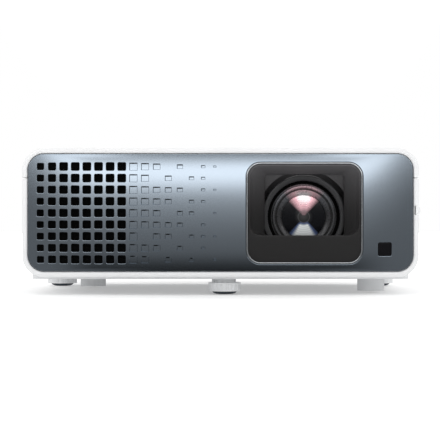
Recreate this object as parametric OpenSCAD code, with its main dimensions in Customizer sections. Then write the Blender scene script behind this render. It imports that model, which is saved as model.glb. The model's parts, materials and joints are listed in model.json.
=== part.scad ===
// Home projector: a flat case on three screw feet, with a bulged front panel, a pierced
// grille, a recessed short-throw lens and everything the light path, cooling and power need.
// +X is the viewer's right, the front faces -Y, +Z is up, the origin is on the floor.

/* [Case] */
// Width of the case
body_w = 305; // [290:1:380]
// Depth from the front bulge to the rear edge
body_d = 247; // [242:1:320]
// Height of the case without its base plate and feet
body_h = 99.6; // [98:0.2:130]
// Radius of the case's long edges
corner_r = 17; // [12:0.5:20]
// Wall thickness of the case
wall = 2.5; // [2:0.1:3]
// Height of the top cover above the seam
cover_h = 22.9; // [20:0.1:26]
// Gap that shows at the seam between the top cover and the bottom case
seam_gap = 0.8; // [0.3:0.1:0.9]
// Depth of the solid rim around the front panel
rim_depth = 12; // [10:0.5:14]
// Height of the base plate under the case
plinth_h = 4.8; // [4.4:0.1:6]
// How far the base plate stays back from each side of the case
plinth_side = 6.5; // [6.5:0.1:8]
// How far the base plate stays back from the front and the rear
plinth_end = 12; // [10:0.5:16]
// Thickness of the case floor
floor_t = 2; // [1.6:0.1:3]

/* [Front panel] */
// Margin from the case outline to the panel
panel_inset = 4.7; // [4:0.1:6]
// Gap around the panel
panel_gap = 0.5; // [0.3:0.1:0.8]
// How far the panel bulges in the middle
bulge = 2.5; // [1:0.1:3]
// Panel thickness in the middle
panel_t = 6; // [5:0.5:7]
// Distance between two grille holes
grille_pitch = 8.92; // [8.6:0.01:9.2]
// Side of a full grille hole
hole_w = 6.2; // [5:0.1:6.8]
// Corner radius of a grille hole
hole_r = 0.9; // [0.4:0.1:1.2]
// Rows of grille holes
hole_rows = 9; // [6:1:9]
// Columns of holes that go through
hole_cols = 8; // [6:1:8]
// Columns of shallow squares beside the grille
fade_cols = 8; // [4:1:8]
// Depth of the shallow squares
fade_depth = 0.4; // [0.2:0.1:0.8]
// Side of the square infrared window
ir_w = 10; // [8:0.5:12]

/* [Lens bezel] */
// Distance of the lens axis from the middle of the case
lens_x = 64.8; // [55:0.1:66]
// Width of the black bezel
bezel_w = 86.5; // [84:0.5:92]
// Height of the black bezel
bezel_h = 75.1; // [73:0.1:78]
// Corner radius of the bezel
bezel_r = 9.5; // [6:0.5:12]
// Width of the bright trim ring around the bezel
trim_w = 1.5; // [1:0.1:2]
// Width of the window in the bezel
window_w = 61.5; // [56:0.5:64]
// Height of the window in the bezel
window_h = 47.3; // [44:0.1:50]
// Depth from the bulge to the narrow end of the window
window_depth = 12; // [10:0.5:12]

/* [Lens] */
// Radius of the front glass that shows
glass_r = 17; // [14:0.1:18]
// Width of the front cell's face around the glass
cell_rim = 7.6; // [7:0.1:8]
// Wall thickness of the lens barrel
barrel_wall = 3.35; // [3:0.05:3.6]
// Thickness of the focus and zoom rings
ring_t = 4.55; // [4.2:0.05:4.8]
// Length of the focus ring
focus_len = 20; // [16:1:22]
// Length of the zoom ring
zoom_len = 14; // [10:1:16]
// Travel of each lens group to either side
lens_travel = 1.5; // [0.5:0.1:2]

/* [Cooling] */
// Side of the exhaust fan behind the grille
exhaust_w = 80; // [70:1:80]
// Side of the intake fan at the right wall
intake_w = 70; // [60:1:76]
// Depth of both fans
fan_t = 24.5; // [20:0.5:25]
// Radius of the phosphor wheel
wheel_r = 22; // [18:0.5:23]
// Number of fins on the laser heatsink
laser_fins = 14; // [8:1:16]

/* [Feet and mounts] */
// Height of the rubber pad
pad_h = 2.3; // [2:0.1:3]
// Height of the knurled foot ring
foot_ring_h = 6.8; // [5:0.1:8]
// Radius of the knurled foot ring
foot_ring_r = 12.7; // [10:0.1:13]
// Height of the collar between the ring and the base plate
collar_h = 2.8; // [2:0.1:4]
// Radius of the foot screw
screw_r = 4; // [3:0.1:4.5]
// Distance of the front foot from the middle
front_foot_x = 3.1; // [-5:0.1:5]
// Front foot's distance behind the rim
front_foot_back = 28; // [26:0.5:34]
// Rear feet's distance from each side of the case
rear_foot_side = 13; // [13:0.5:20]
// Rear feet's distance behind the rim
rear_foot_back = 190; // [180:1:200]
// Radius of a ceiling-mount boss
boss_r = 10.8; // [9:0.1:12]
// Height of a boss's lower end above the floor
boss_z = 1.5; // [1:0.1:3]
// Radius of the thread bore in a brass insert
insert_bore_r = 1.65; // [1.6:0.05:2.1]

/* [Keys] */
// Radius of an arrow key
key_r = 4.5; // [3.5:0.1:5]
// Distance of each arrow key from the middle key
key_pitch = 14; // [12:0.5:16]
// Height of the side button
side_button_h = 6; // [5:0.1:8]
// How far the side button stands out of the wall
side_button_out = 0.85; // [0.4:0.05:1.2]

/* [Sockets] */
// Width of the mains inlet's body
inlet_w = 28; // [27:0.5:30]
// Height of the mains inlet's body
inlet_h = 20; // [19:0.5:22]
// Distance of the mains inlet from the left side of the case
inlet_side = 37.5; // [32:0.5:45]

/* [Hidden] */
$fn = 64;
fine_fn = 256;   // for very large radii
lens_fn = 160;   // for lens surfaces
small_fn = 32;   // for pins and screws

// clearances
run_fit = 0.05;    // between a shaft and its bore, or a cell and its barrel
part_gap = 0.3;    // between a moving piece and its neighbour
trim_gap = 0.2;    // between two fixed pieces side by side
far = 500;         // longer than the whole object

// main planes
front_y = -body_d/2;
rim_y = front_y + 2;
rear_y = body_d/2;
side_x = body_w/2;
base_z = pad_h + foot_ring_h + collar_h + part_gap;
case_z = base_z + 1.6;
floor_z = base_z + plinth_h;
floor_top = floor_z + floor_t;
top_z = case_z + body_h;
mid_z = case_z + body_h/2;
seam_z = top_z - cover_h;
ceiling_z = top_z - wall;
panel_back_y = front_y + panel_t;
rim_back_y = rim_y + rim_depth;
panel_h = body_h - 2*panel_inset;
pillow_r = (pow(panel_h/2, 2) + pow(bulge, 2))/(2*bulge);

// lens radii, each from the one inside it
cell_r = glass_r + cell_rim;
barrel_r = cell_r + run_fit + barrel_wall;
ring_r = barrel_r + run_fit + ring_t;
flange_r = barrel_r + 4;
exit_r = 15;                                // opening and glass at the barrel's rear end

// lens bezel and optics
bezel_x = lens_x - 0.35;
bezel_z = mid_z - 0.55;
block_top_z = mid_z - 17.6;                 // top of the flush block under the window
window_z = block_top_z + window_h/2;
lens_z = mid_z - 3.3;
shroud_half = barrel_r + 13;
shroud_down = ring_r + 5.2;
shroud_y = rim_back_y + 0.5;
shroud_t = 1.5;
focus_y = rim_y + 15.5;
zoom_y = focus_y + focus_len + 3;
barrel_y = focus_y + 6;
barrel_end = focus_y + 82;
flange_t = 4;
shroud_end = zoom_y + zoom_len + 8;
cell_y = focus_y + 2;
zoom_cell_y = focus_y + 34;
cell_len = 16;
tab_h = 3;
tab_w = 8;

// side button, and how deep it reaches behind the rim
button_z = mid_z + 1.8;
button_back = rim_back_y + 5;
button_in = 2.65;

// optical engine, placed from the barrel's flange
engine_y = barrel_end + flange_t;
engine_d = 78;
engine_z = lens_z - 36.3;
engine_h = 68;
engine_x0 = lens_x - 58.8;
engine_x1 = lens_x + 43.2;
engine_wall = 2.5;
mirror_x = engine_x0 + 18;
light_y = engine_y + 14;
light_z = lens_z + 1.7;
tunnel_half = 4.5;
tunnel_hole = tunnel_half + trim_gap;
prism_y = engine_y + 44;
prism_w = 30;
wheel_x1 = engine_x0 - 20;
wheel_x0 = wheel_x1 - 38;
wheel_z = light_z - 16;
wheel_x = wheel_x1 - 16;
laser_x = wheel_x0 - 18;
heatsink_x = laser_x - 6;
fin_len = 62;
heatsink_y0 = light_y - 52;
heatsink_y1 = light_y + 22;
heatsink_h = 70;
heatsink_z = light_z - 36;

// fans
exhaust_x = -side_x + wall + 7 + exhaust_w/2;
exhaust_z = mid_z - 1.6;
exhaust_y = rim_back_y;
intake_y = engine_y + 42;
intake_z = mid_z - 6.6;
intake_x1 = side_x - wall - 4.5;
hub_share = 0.36;                            // hub radius as a share of the blade radius
fan_rim = 2;

// speaker
speaker_x1 = side_x - wall - 3;
speaker_d = 37;
speaker_y0 = rim_y + 19.5;
speaker_w = 44;
speaker_z0 = floor_top + 7;
speaker_h = 54;
cone_r = 17;

// keypad
keys_x = 0;
keys_y = rear_y - 52;
key_top = top_z - 0.3;
key_travel = 0.6;
key_flange_z = ceiling_z - part_gap;
key_len = 5.4;
power_x = keys_x - 40;
power_r = 5.5;
keypad_z = key_top - wall - key_len - 3.2;
board_t = 1.6;

// boards and sockets
io_y = rear_y - 1.5;                         // outside of the rear panel
io_t = 2.5;
io_in = io_y - io_t;
main_y = io_in - 14;
main_x0 = -60;
main_x1 = 100;
main_z0 = floor_top + 9;
main_z1 = top_z - 13.4;
inlet_x = -side_x + inlet_side;
inlet_z = mid_z - 23.6;
hdmi_xs = [-30, -5];
hdmi_w = 14;
hdmi_h = 4.6;
usb_x = 25;
usb_w = 12.5;
usb_h = 5.2;
audio_x = 48;
socket_z = mid_z - 1.6;
shell_t = 0.7;
power_x0 = -side_x + rear_foot_side + 9;
power_x1 = power_x0 + 80;
power_y0 = heatsink_y1 + 8;
power_z = floor_top + 4;

// feet, mounts and screws: [x, y]
foot_z = pad_h;
foot_top = base_z + 18;
front_foot = [front_foot_x, rim_y + front_foot_back];
rear_left_foot = [-side_x + rear_foot_side, rim_y + rear_foot_back];
rear_right_foot = [side_x - rear_foot_side, rim_y + rear_foot_back];
feet = [front_foot, rear_left_foot, rear_right_foot];
mount_spots = [
  [side_x - 32.2, rim_y + 55],
  [-side_x + 43.4, rim_y + 148],
  [front_foot_x, rim_y + 215]
];
insert_r = 3;
insert_len = 8;
screw_spots = [
  for (sx = [-1, 1], y = [rim_y + 46, rear_y - 22]) [sx*(side_x - 14.5), y]
];
case_screw_r = 1.5;
screw_head_r = 2.8;

white = [0.93, 0.94, 0.95];
blue_grey = [0.36, 0.42, 0.48];
black = [0.05, 0.05, 0.06];
dark = [0.13, 0.13, 0.14];
metal = [0.75, 0.76, 0.78];
board_green = [0.07, 0.25, 0.16];

// ---------- shared shapes ----------

// rounded rectangle about the middle
module rounded(w, h, r) {
  square([w - 2*r, h], center = true);
  square([w, h - 2*r], center = true);
  for (sx = [-1, 1], sy = [-1, 1])
    translate([sx*(w/2 - r), sy*(h/2 - r)]) circle(r);
}

// an (x, z) outline swept from y0 to y1
module along_y(y0, y1) {
  translate([0, y1, 0]) rotate([90, 0, 0]) linear_extrude(y1 - y0) children();
}

// a box from its lowest to its highest corner
module box(lo, hi) {
  translate(lo) cube(hi - lo);
}

module rod_x(x0, x1, y, z, r) {
  translate([x0, y, z]) rotate([0, 90, 0]) cylinder(r = r, h = x1 - x0);
}

module rod_y(y0, y1, x, z, r) {
  translate([x, y0, z]) rotate([-90, 0, 0]) cylinder(r = r, h = y1 - y0);
}

module rod_z(z0, z1, at, r) {
  translate([at[0], at[1], z0]) cylinder(r = r, h = z1 - z0);
}

module tube_y(y0, y1, x, z, r_out, r_in) {
  difference() {
    rod_y(y0, y1, x, z, r_out);
    rod_y(y0 - 1, y1 + 1, x, z, r_in);
  }
}

// the case's (x, z) outline, moved inwards
module outline(inset) {
  translate([0, mid_z])
    rounded(body_w - 2*inset, body_h - 2*inset, corner_r - inset);
}

// everything behind the bulged front surface, moved back by a depth
module pillow(back = 0) {
  translate([-far/2, front_y + pillow_r, mid_z])
    rotate([0, 90, 0]) cylinder(r = pillow_r - back, h = far, $fn = fine_fn);
}

// a two-sided lens about the origin, its axis along Z
module lens(r, t, dome) {
  ball = (r*r + dome*dome)/(2*dome);
  intersection() {
    cylinder(r = r, h = t, center = true);
    translate([0, 0, ball - t/2]) sphere(ball, $fn = lens_fn);
    translate([0, 0, t/2 - ball]) sphere(ball, $fn = lens_fn);
  }
}

module lens_y(y, r, t, dome) {
  translate([lens_x, y, lens_z]) rotate([90, 0, 0]) lens(r, t, dome);
}

// ---------- case ----------

// the sleeve that both case halves are cut from
module sleeve() {
  difference() {
    along_y(rim_y, rear_y) outline(0);
    along_y(rim_y - 1, panel_back_y) outline(panel_inset - panel_gap);
    along_y(panel_back_y - 1, rim_back_y + 1) outline(panel_inset + 2);
    along_y(rim_back_y, rear_y + 1) outline(wall);
  }
}

module finger_opening(grow = 0) {
  box([lens_x - 24 - grow, focus_y + 1 - grow, ceiling_z - 1],
      [lens_x + 24 + grow, zoom_y + zoom_len + 2 + grow, top_z + 1]);
}

module top_cover() {
  color(white) difference() {
    union() {
      intersection() {
        sleeve();
        box([-far, -far, seam_z], [far, far, far]);
      }
      for (x = [power_x - 8, keys_x + 24], y = [keys_y - 17, keys_y + 17])
        rod_z(keypad_z + board_t, ceiling_z + 0.5, [x, y], 2.5);
    }
    finger_opening();
    for (k = key_spots) rod_z(ceiling_z - 1, top_z + 1, [k[0], k[1]], k[2] + part_gap);
    for (i = [0:2]) rod_z(ceiling_z - 1, top_z + 1, light_at(i), 1 + trim_gap);
  }
}

// tongue on the bottom case that closes the seam from inside
module seam_lip() {
  lip_t = 1.2;
  difference() {
    along_y(rim_back_y - 1, io_in - trim_gap) outline(wall - 0.5);
    along_y(rim_back_y - 2, rear_y) outline(wall + part_gap + lip_t);
    box([-far, -far, -far], [far, far, seam_z - 5]);
    box([-far, -far, seam_z + 2.5], [far, far, far]);
    difference() {
      box([-far, -far, seam_z - seam_gap], [far, far, far]);
      along_y(rim_back_y + part_gap, rear_y) outline(wall + part_gap);
    }
  }
}

module side_vents() {
  vent_w = 2.4;
  vent_pitch = 5;
  for (s = [-1, 1], i = [0:12])
    box([s*side_x - 6, intake_y - 30 + i*vent_pitch, mid_z - 24],
        [s*side_x + 6, intake_y - 30 + i*vent_pitch + vent_w, mid_z + 14]);
  for (i = [0:6])
    box([side_x - 6, speaker_y0 + 6 + i*vent_pitch, speaker_z0 + 12],
        [side_x + 6, speaker_y0 + 6 + i*vent_pitch + vent_w, speaker_z0 + 42]);
}

module side_button_slot() {
  half = side_button_h/2 + 0.6;
  box([side_x - button_in - 0.85, rim_y - 1, button_z - half],
      [side_x + 1, button_back + part_gap, button_z + half]);
}

module bottom_case() {
  inside_y0 = rim_back_y - 1;
  inside_y1 = io_in - trim_gap;
  color(white) difference() {
    union() {
      intersection() {
        sleeve();
        box([-far, -far, -far], [far, far, seam_z - seam_gap]);
      }
      seam_lip();
      intersection() {
        along_y(inside_y0, inside_y1) outline(wall/2);
        union() {
          box([-far, -far, case_z], [far, far, floor_top]);
          for (f = feet) rod_z(floor_z, foot_top, f, screw_r + 3);
          for (s = screw_spots) rod_z(floor_z, floor_top + 6, s, 4);
          // seats for the engine, the fans, the boards and the laser heatsink
          for (x = [engine_x0 + 8, engine_x1 - 8], y = [engine_y + 8, engine_y + engine_d - 8])
            rod_z(floor_z, engine_z, [x, y], 4);
          for (y = [heatsink_y0 + 10, heatsink_y1 - 10])
            rod_z(floor_z, heatsink_z, [heatsink_x + 3, y], 3);
          box([exhaust_x - 34, exhaust_y + 6, floor_z],
              [exhaust_x + 34, exhaust_y + 18, exhaust_z - exhaust_w/2]);
          box([intake_x1 - 18, intake_y - 28, floor_z],
              [intake_x1 - 6, intake_y + 28, intake_z - intake_w/2]);
          for (x = [main_x0 + 12, main_x1 - 24])
            box([x, main_y - 3, floor_z], [x + 12, main_y + 5, main_z0]);
          for (x = [power_x0 + 6, power_x1 - 6], y = [power_y0 + 6, main_y - 6])
            rod_z(floor_z, power_z, [x, y], 3);
          box([speaker_x1 - 30, speaker_y0 + 8, floor_z],
              [speaker_x1 - 10, speaker_y0 + speaker_w - 8, speaker_z0]);
          box([wheel_x0 + 6, light_y - 18, floor_z], [wheel_x1 - 6, light_y + 18, wheel_floor]);
        }
      }
    }
    // recess for the base plate
    box([-far, rim_y + plinth_end, -far], [far, rear_y - plinth_end, floor_z]);
    for (f = feet) rod_z(0, foot_top + 1, f, screw_r + run_fit);
    for (s = screw_spots) rod_z(0, floor_top + 7, s, case_screw_r);
    side_vents();
    side_button_slot();
  }
}

module base_plate() {
  plan_w = body_w - 2*plinth_side;
  plan_y0 = rim_y + plinth_end;
  plan_y1 = rear_y - plinth_end;
  skin = 2.2;
  edge = 3;
  color([0.86, 0.87, 0.88]) difference() {
    union() {
      intersection() {
        translate([0, (plan_y0 + plan_y1)/2, base_z])
          linear_extrude(plinth_h) rounded(plan_w, plan_y1 - plan_y0, 6);
        union() {
          box([-far, -far, 0], [far, far, base_z + skin]);
          difference() {
            box([-far, -far, 0], [far, far, floor_z]);
            translate([0, (plan_y0 + plan_y1)/2, 0])
              linear_extrude(far) rounded(plan_w - 2*edge, plan_y1 - plan_y0 - 2*edge, 3);
          }
          for (f = feet) rod_z(base_z, floor_z, f, screw_r + 3);
          for (s = screw_spots) rod_z(base_z, floor_z, s, screw_head_r + 2.7);
        }
      }
      for (m = mount_spots) rod_z(boss_z, floor_z, m, boss_r);
    }
    for (f = feet) rod_z(0, floor_z + 1, f, screw_r + run_fit);
    for (m = mount_spots) rod_z(0, floor_z + 1, m, insert_r);
    for (s = screw_spots) {
      rod_z(0, floor_z + 1, s, case_screw_r + trim_gap);
      rod_z(0, base_z + 2, s, screw_head_r + trim_gap);
    }
  }
}

module mount_inserts() {
  color([0.80, 0.65, 0.30])
    for (m = mount_spots) difference() {
      rod_z(boss_z + 0.5, boss_z + 0.5 + insert_len, m, insert_r);
      rod_z(0, boss_z + insert_len + 2, m, insert_bore_r);
    }
}

module case_screws() {
  color(metal)
    for (s = screw_spots) difference() {
      union() {
        rod_z(base_z + 0.4, base_z + 2, s, screw_head_r);
        rod_z(base_z + 1, floor_top + 5, s, case_screw_r);
      }
      box([s[0] - 2, s[1] - 0.4, base_z], [s[0] + 2, s[1] + 0.4, base_z + 1.1]);
      box([s[0] - 0.4, s[1] - 2, base_z], [s[0] + 0.4, s[1] + 2, base_z + 1.1]);
    }
}

// ---------- front ----------

module bezel_outline(grow = 0) {
  translate([bezel_x, bezel_z])
    rounded(bezel_w + 2*grow, bezel_h + 2*grow, bezel_r + grow);
}

grille_x0 = -side_x + 14.3;
grille_z = mid_z - 0.4;
ir_x = side_x - 26.5;
ir_z = case_z + 21.6;

function row_z(row) = grille_z + (4 - row)*grille_pitch;

// the grille's first columns are a little smaller
function hole_side(col) = hole_w - (col == 0 ? 1 : col == 1 ? 0.35 : 0);

// which shallow squares each row has, first column first
fade_rows = ["11101011", "11010110", "11111011", "11110110", "11101101",
             "11111010", "10110111", "11101010", "11010101"];
// width and height of the shallow squares fall from column to column
function fade_w(col) = hole_w*(1 - 0.03*col - 0.0085*col*col);
function fade_h(col) = hole_w*(0.97 - 0.105*col);

module grille_holes() {
  for (col = [0:hole_cols - 1], row = [0:hole_rows - 1])
    translate([grille_x0 + col*grille_pitch, row_z(row)])
      rounded(hole_side(col), hole_side(col), hole_r);
}

module fade_squares() {
  for (row = [0:hole_rows - 1], col = [0:fade_cols - 1])
    if (fade_rows[row][col] == "1")
      translate([grille_x0 + (hole_cols + col)*grille_pitch, row_z(row)])
        square([fade_w(col), fade_h(col)], center = true);
}

module front_panel() {
  color(blue_grey) difference() {
    union() {
      intersection() {
        along_y(front_y - 1, panel_back_y) outline(panel_inset);
        pillow();
      }
      for (x = [ir_x - 8, ir_x + 10])
        rod_y(panel_back_y - 1, receiver_y, x, ir_z + 16, 2);
    }
    along_y(front_y - 2, panel_back_y + 1) grille_holes();
    along_y(front_y - 2, panel_back_y + 1) bezel_outline(trim_w + trim_gap);
    along_y(front_y - 2, panel_back_y + 1)
      translate([ir_x, ir_z]) rounded(ir_w + 2*trim_gap, ir_w + 2*trim_gap, 1.2);
    difference() {
      along_y(front_y - 2, panel_back_y - 1) fade_squares();
      pillow(fade_depth);
    }
  }
}

module lens_bezel() {
  funnel_front = front_y - 0.1;
  funnel_back = front_y + window_depth;
  color(black) difference() {
    union() {
      intersection() {
        along_y(front_y - 1, rim_back_y) bezel_outline();
        pillow();
      }
      along_y(panel_back_y, panel_back_y + 2) bezel_outline(4);
    }
    along_y(front_y - 2, rim_back_y + 1)
      translate([lens_x, window_z]) rounded(window_w, window_h, 2.3);
    hull() {
      translate([bezel_x, funnel_front, block_top_z]) funnel_end(bezel_w - 3, 53.2, 8);
      translate([lens_x, funnel_back, block_top_z]) funnel_end(window_w, window_h, 2.3);
    }
  }
}

// a thin slab that stands on the window's lower edge
module funnel_end(w, h, r) {
  along_y(-0.1, 0) translate([0, h/2]) rounded(w, h, r, $fn = small_fn);
}

module bezel_trim() {
  color([0.80, 0.84, 0.88]) intersection() {
    along_y(front_y - 1, front_y + 4) difference() {
      bezel_outline(trim_w);
      bezel_outline(0.1);
    }
    pillow();
  }
}

module ir_window() {
  color(black) union() {
    intersection() {
      along_y(front_y - 1, panel_back_y + 1)
        translate([ir_x, ir_z]) rounded(ir_w, ir_w, 1.2);
      pillow(0.2);
    }
    along_y(panel_back_y, panel_back_y + 1)
      translate([ir_x, ir_z]) square([ir_w + 3, ir_w + 3], center = true);
  }
}

module dust_filter() {
  reach = hole_cols*grille_pitch;
  color(black)
    box([grille_x0 - 4.5, panel_back_y, grille_z - 39],
        [grille_x0 - 4 + reach, panel_back_y + 2, grille_z + 39]);
}

module side_button() {
  half = side_button_h/2;
  crown_r = 5;
  hook_in = button_in + 2.25;
  x0 = side_x - button_in;
  x1 = side_x + side_button_out;
  hook_y = rim_back_y + part_gap;
  color(white) union() {
    box([x0, rim_y, button_z - half], [x1 - 1, button_back, button_z + half]);
    intersection() {
      box([x0, rim_y, button_z - half], [x1, button_back, button_z + half]);
      rod_y(rim_y - 1, button_back + 1, x1 - crown_r, button_z, crown_r);
    }
    // hooks that stop the button from falling out
    box([side_x - hook_in, hook_y, button_z - half], [x0 + 0.65, button_back, button_z + half]);
    box([side_x - hook_in, hook_y, button_z - half - 2],
        [side_x - wall - 0.6, button_back, button_z + half + 2]);
  }
}

receiver_y = rim_back_y - 0.5;

module receiver_board() {
  color(board_green) union() {
    box([ir_x - 14, receiver_y, ir_z - 7], [side_x - 8, receiver_y + board_t, button_z + 8]);
    box([ir_x - 4, panel_back_y + 2, ir_z - 4], [ir_x + 4, receiver_y, ir_z + 4]);
    box([side_x - 11, receiver_y + board_t, button_z - 3],
        [side_x - 6, button_back, button_z + 3]);
  }
}

// ---------- rear ----------

module rear_panel() {
  color(dark) difference() {
    along_y(io_in, io_y) outline(wall + trim_gap);
    box([inlet_x - inlet_w/2 - trim_gap, -far, inlet_z - inlet_h/2 - trim_gap],
        [inlet_x + inlet_w/2 + trim_gap, far, inlet_z + inlet_h/2 + trim_gap]);
    for (x = hdmi_xs) socket_hole(x, hdmi_w, hdmi_h);
    socket_hole(usb_x, usb_w, usb_h);
    rod_y(io_in - 1, io_y + 1, audio_x, socket_z, 4 + trim_gap);
    for (i = [0:9])
      box([audio_x + 18 + i*5, io_in - 1, mid_z - 20], [audio_x + 20.4 + i*5, io_y + 1, mid_z + 20]);
  }
}

module socket_hole(x, w, h) {
  grow = shell_t + trim_gap;
  box([x - w/2 - grow, io_in - 1, socket_z - h/2 - grow],
      [x + w/2 + grow, io_y + 1, socket_z + h/2 + grow]);
}

// an open metal socket with a plastic tongue set back from its mouth
module socket(x, w, h, tongue_w, tongue_t) {
  mouth_y = io_y + 0.5;
  difference() {
    box([x - w/2 - shell_t, main_y + board_t, socket_z - h/2 - shell_t],
        [x + w/2 + shell_t, mouth_y, socket_z + h/2 + shell_t]);
    box([x - w/2, mouth_y - 12, socket_z - h/2], [x + w/2, mouth_y + 1, socket_z + h/2]);
  }
  box([x - tongue_w/2, mouth_y - 13, socket_z - tongue_t/2],
      [x + tongue_w/2, mouth_y - 5, socket_z + tongue_t/2]);
}

module hdmi_ports() {
  color(metal) for (x = hdmi_xs) socket(x, hdmi_w, hdmi_h, 9, 0.9);
}

module usb_port() {
  color(metal) socket(usb_x, usb_w, usb_h, 11, 1.8);
}

module audio_jack() {
  color(black) difference() {
    union() {
      box([audio_x - 5.5, main_y + board_t, socket_z - 5.5],
          [audio_x + 5.5, io_in - trim_gap, socket_z + 5.5]);
      rod_y(io_in - 1, io_y + 0.5, audio_x, socket_z, 4);
    }
    rod_y(io_y - 13, io_y + 1, audio_x, socket_z, 1.8);
  }
}

module ac_inlet() {
  flange = 2.5;
  cavity_w = inlet_w - 4;
  cavity_h = inlet_h - 4;
  color(black) difference() {
    union() {
      box([inlet_x - inlet_w/2, io_in - 20, inlet_z - inlet_h/2],
          [inlet_x + inlet_w/2, io_y + 0.5, inlet_z + inlet_h/2]);
      box([inlet_x - inlet_w/2 - flange, io_y, inlet_z - inlet_h/2 - flange],
          [inlet_x + inlet_w/2 + flange, rear_y, inlet_z + inlet_h/2 + flange]);
    }
    box([inlet_x - cavity_w/2, io_y - 14.5, inlet_z - cavity_h/2],
        [inlet_x + cavity_w/2, rear_y + 1, inlet_z + cavity_h/2]);
  }
  color(metal) for (p = [[-7, -1.5], [0, 2.5], [7, -1.5]])
    box([inlet_x + p[0] - 1, io_y - 15.5, inlet_z + p[1] - 2],
        [inlet_x + p[0] + 1, io_y - 3.5, inlet_z + p[1] + 2]);
}

// ---------- lens ----------

module lens_shroud() {
  x0 = lens_x - shroud_half;
  x1 = lens_x + shroud_half;
  z0 = lens_z - shroud_down;
  color(dark) difference() {
    box([x0 - shroud_t, shroud_y, z0 - shroud_t],
        [x1 + shroud_t, shroud_end, ceiling_z]);
    box([x0, shroud_y + shroud_t, z0], [x1, shroud_end - shroud_t, ceiling_z + 1]);
    rod_y(shroud_y - 1, shroud_y + shroud_t + 1, lens_x, lens_z, ring_r + 3.6);
    rod_y(shroud_end - shroud_t - 1, shroud_end + 1, lens_x, lens_z, barrel_r + 1);
  }
}

// a turning ring with shallow grip flutes
module grip_ring(y0, len) {
  flutes = 36;
  difference() {
    tube_y(y0, y0 + len, lens_x, lens_z, ring_r, barrel_r + run_fit);
    for (i = [0:flutes - 1])
      translate([lens_x, y0 + 4, lens_z]) rotate([0, i*360/flutes, 0])
        translate([ring_r + 0.6, 0, 0]) rotate([-90, 0, 0])
          cylinder(r = 1.2, h = len - 6, $fn = small_fn);
  }
}

module focus_ring() {
  color(dark) grip_ring(focus_y, focus_len);
}

module zoom_ring() {
  color(dark) union() {
    grip_ring(zoom_y, zoom_len);
    box([lens_x - tab_w/2, zoom_y + 4, lens_z + ring_r - 2],
        [lens_x + tab_w/2, zoom_y + zoom_len - 2, lens_z + ring_r + tab_h]);
  }
}

module lens_barrel() {
  color(black) difference() {
    union() {
      rod_y(barrel_y, barrel_end + 1, lens_x, lens_z, barrel_r);
      rod_y(barrel_end, barrel_end + flange_t, lens_x, lens_z, flange_r);
      // stops that keep the two rings in place along the barrel
      rod_y(focus_y + focus_len + part_gap, zoom_y - part_gap, lens_x, lens_z, barrel_r + 2);
      rod_y(zoom_y + zoom_len + part_gap, zoom_y + zoom_len + 2, lens_x, lens_z, barrel_r + 0.8);
    }
    rod_y(barrel_y - 1, barrel_end - 6, lens_x, lens_z, cell_r + run_fit);
    rod_y(barrel_end - 7, barrel_end + flange_t + 1, lens_x, lens_z, exit_r);
  }
}

module front_lens_cell() {
  groove_out = cell_r - 2.3;
  groove_in = glass_r + 4;
  color(dark) difference() {
    rod_y(cell_y, cell_y + cell_len, lens_x, lens_z, cell_r);
    rod_y(cell_y - 1, cell_y + 4, lens_x, lens_z, glass_r);
    rod_y(cell_y + 3, cell_y + cell_len + 1, lens_x, lens_z, glass_r + 1 + run_fit);
    tube_y(cell_y - 1, cell_y + 1.5, lens_x, lens_z, groove_out, groove_in);
  }
}

module front_lens_glass() {
  color([0.25, 0.15, 0.2]) union() {
    rod_y(cell_y + 3, cell_y + 9, lens_x, lens_z, glass_r + 1);
    lens_y(cell_y + 4, glass_r - 0.2, 7, 2.4);
  }
}

module zoom_lens_cell() {
  color(dark) difference() {
    rod_y(zoom_cell_y, zoom_cell_y + cell_len, lens_x, lens_z, cell_r);
    rod_y(zoom_cell_y - 1, zoom_cell_y + 4, lens_x, lens_z, glass_r - 2);
    rod_y(zoom_cell_y + 3, zoom_cell_y + cell_len + 1, lens_x, lens_z, glass_r + run_fit);
  }
}

module zoom_lens_glass() {
  color([0.6, 0.7, 0.75]) union() {
    rod_y(zoom_cell_y + 3, zoom_cell_y + 8, lens_x, lens_z, glass_r);
    lens_y(zoom_cell_y + 4, glass_r - 3, 6, 1.6);
  }
}

module rear_lens_glass() {
  color([0.6, 0.7, 0.75]) lens_y(barrel_end - 2, exit_r - run_fit, 7, 1.8);
}

// ---------- optical engine ----------

module engine_housing() {
  x0 = engine_x0;
  x1 = engine_x1;
  y1 = engine_y + engine_d;
  w = engine_wall;
  color([0.55, 0.56, 0.58]) difference() {
    union() {
      difference() {
        box([x0, engine_y, engine_z], [x1, y1, engine_z + engine_h]);
        box([x0 + w, engine_y + w, engine_z + w], [x1 - w, y1 - w, engine_z + engine_h + 1]);
      }
      box([lens_x - prism_w/2, prism_y - prism_w/2, engine_z + 1],
          [lens_x + prism_w/2, prism_y + prism_w/2, lens_z - prism_w/2]);
    }
    rod_y(engine_y - 1, engine_y + w + 1, lens_x, lens_z, exit_r);
    box([lens_x - 14, y1 - w - 1, lens_z - 10], [lens_x + 14, y1 + 1, lens_z + 10]);
    box([x0 - 1, light_y - tunnel_hole, light_z - tunnel_hole],
        [x0 + w + 1, light_y + tunnel_hole, light_z + tunnel_hole]);
  }
}

module engine_lid() {
  z = engine_z + engine_h;
  color([0.60, 0.61, 0.63])
    box([engine_x0, engine_y, z], [engine_x1, engine_y + engine_d, z + 2.4]);
}

module prism() {
  h = prism_w/2;
  color([0.75, 0.85, 0.9]) translate([lens_x, prism_y, lens_z - h]) linear_extrude(prism_w) {
    polygon([[-h, -h], [h - 0.4, -h], [-h, h - 0.4]]);
    polygon([[h, h], [h, 0.4 - h], [0.4 - h, h]]);
  }
}

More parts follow.
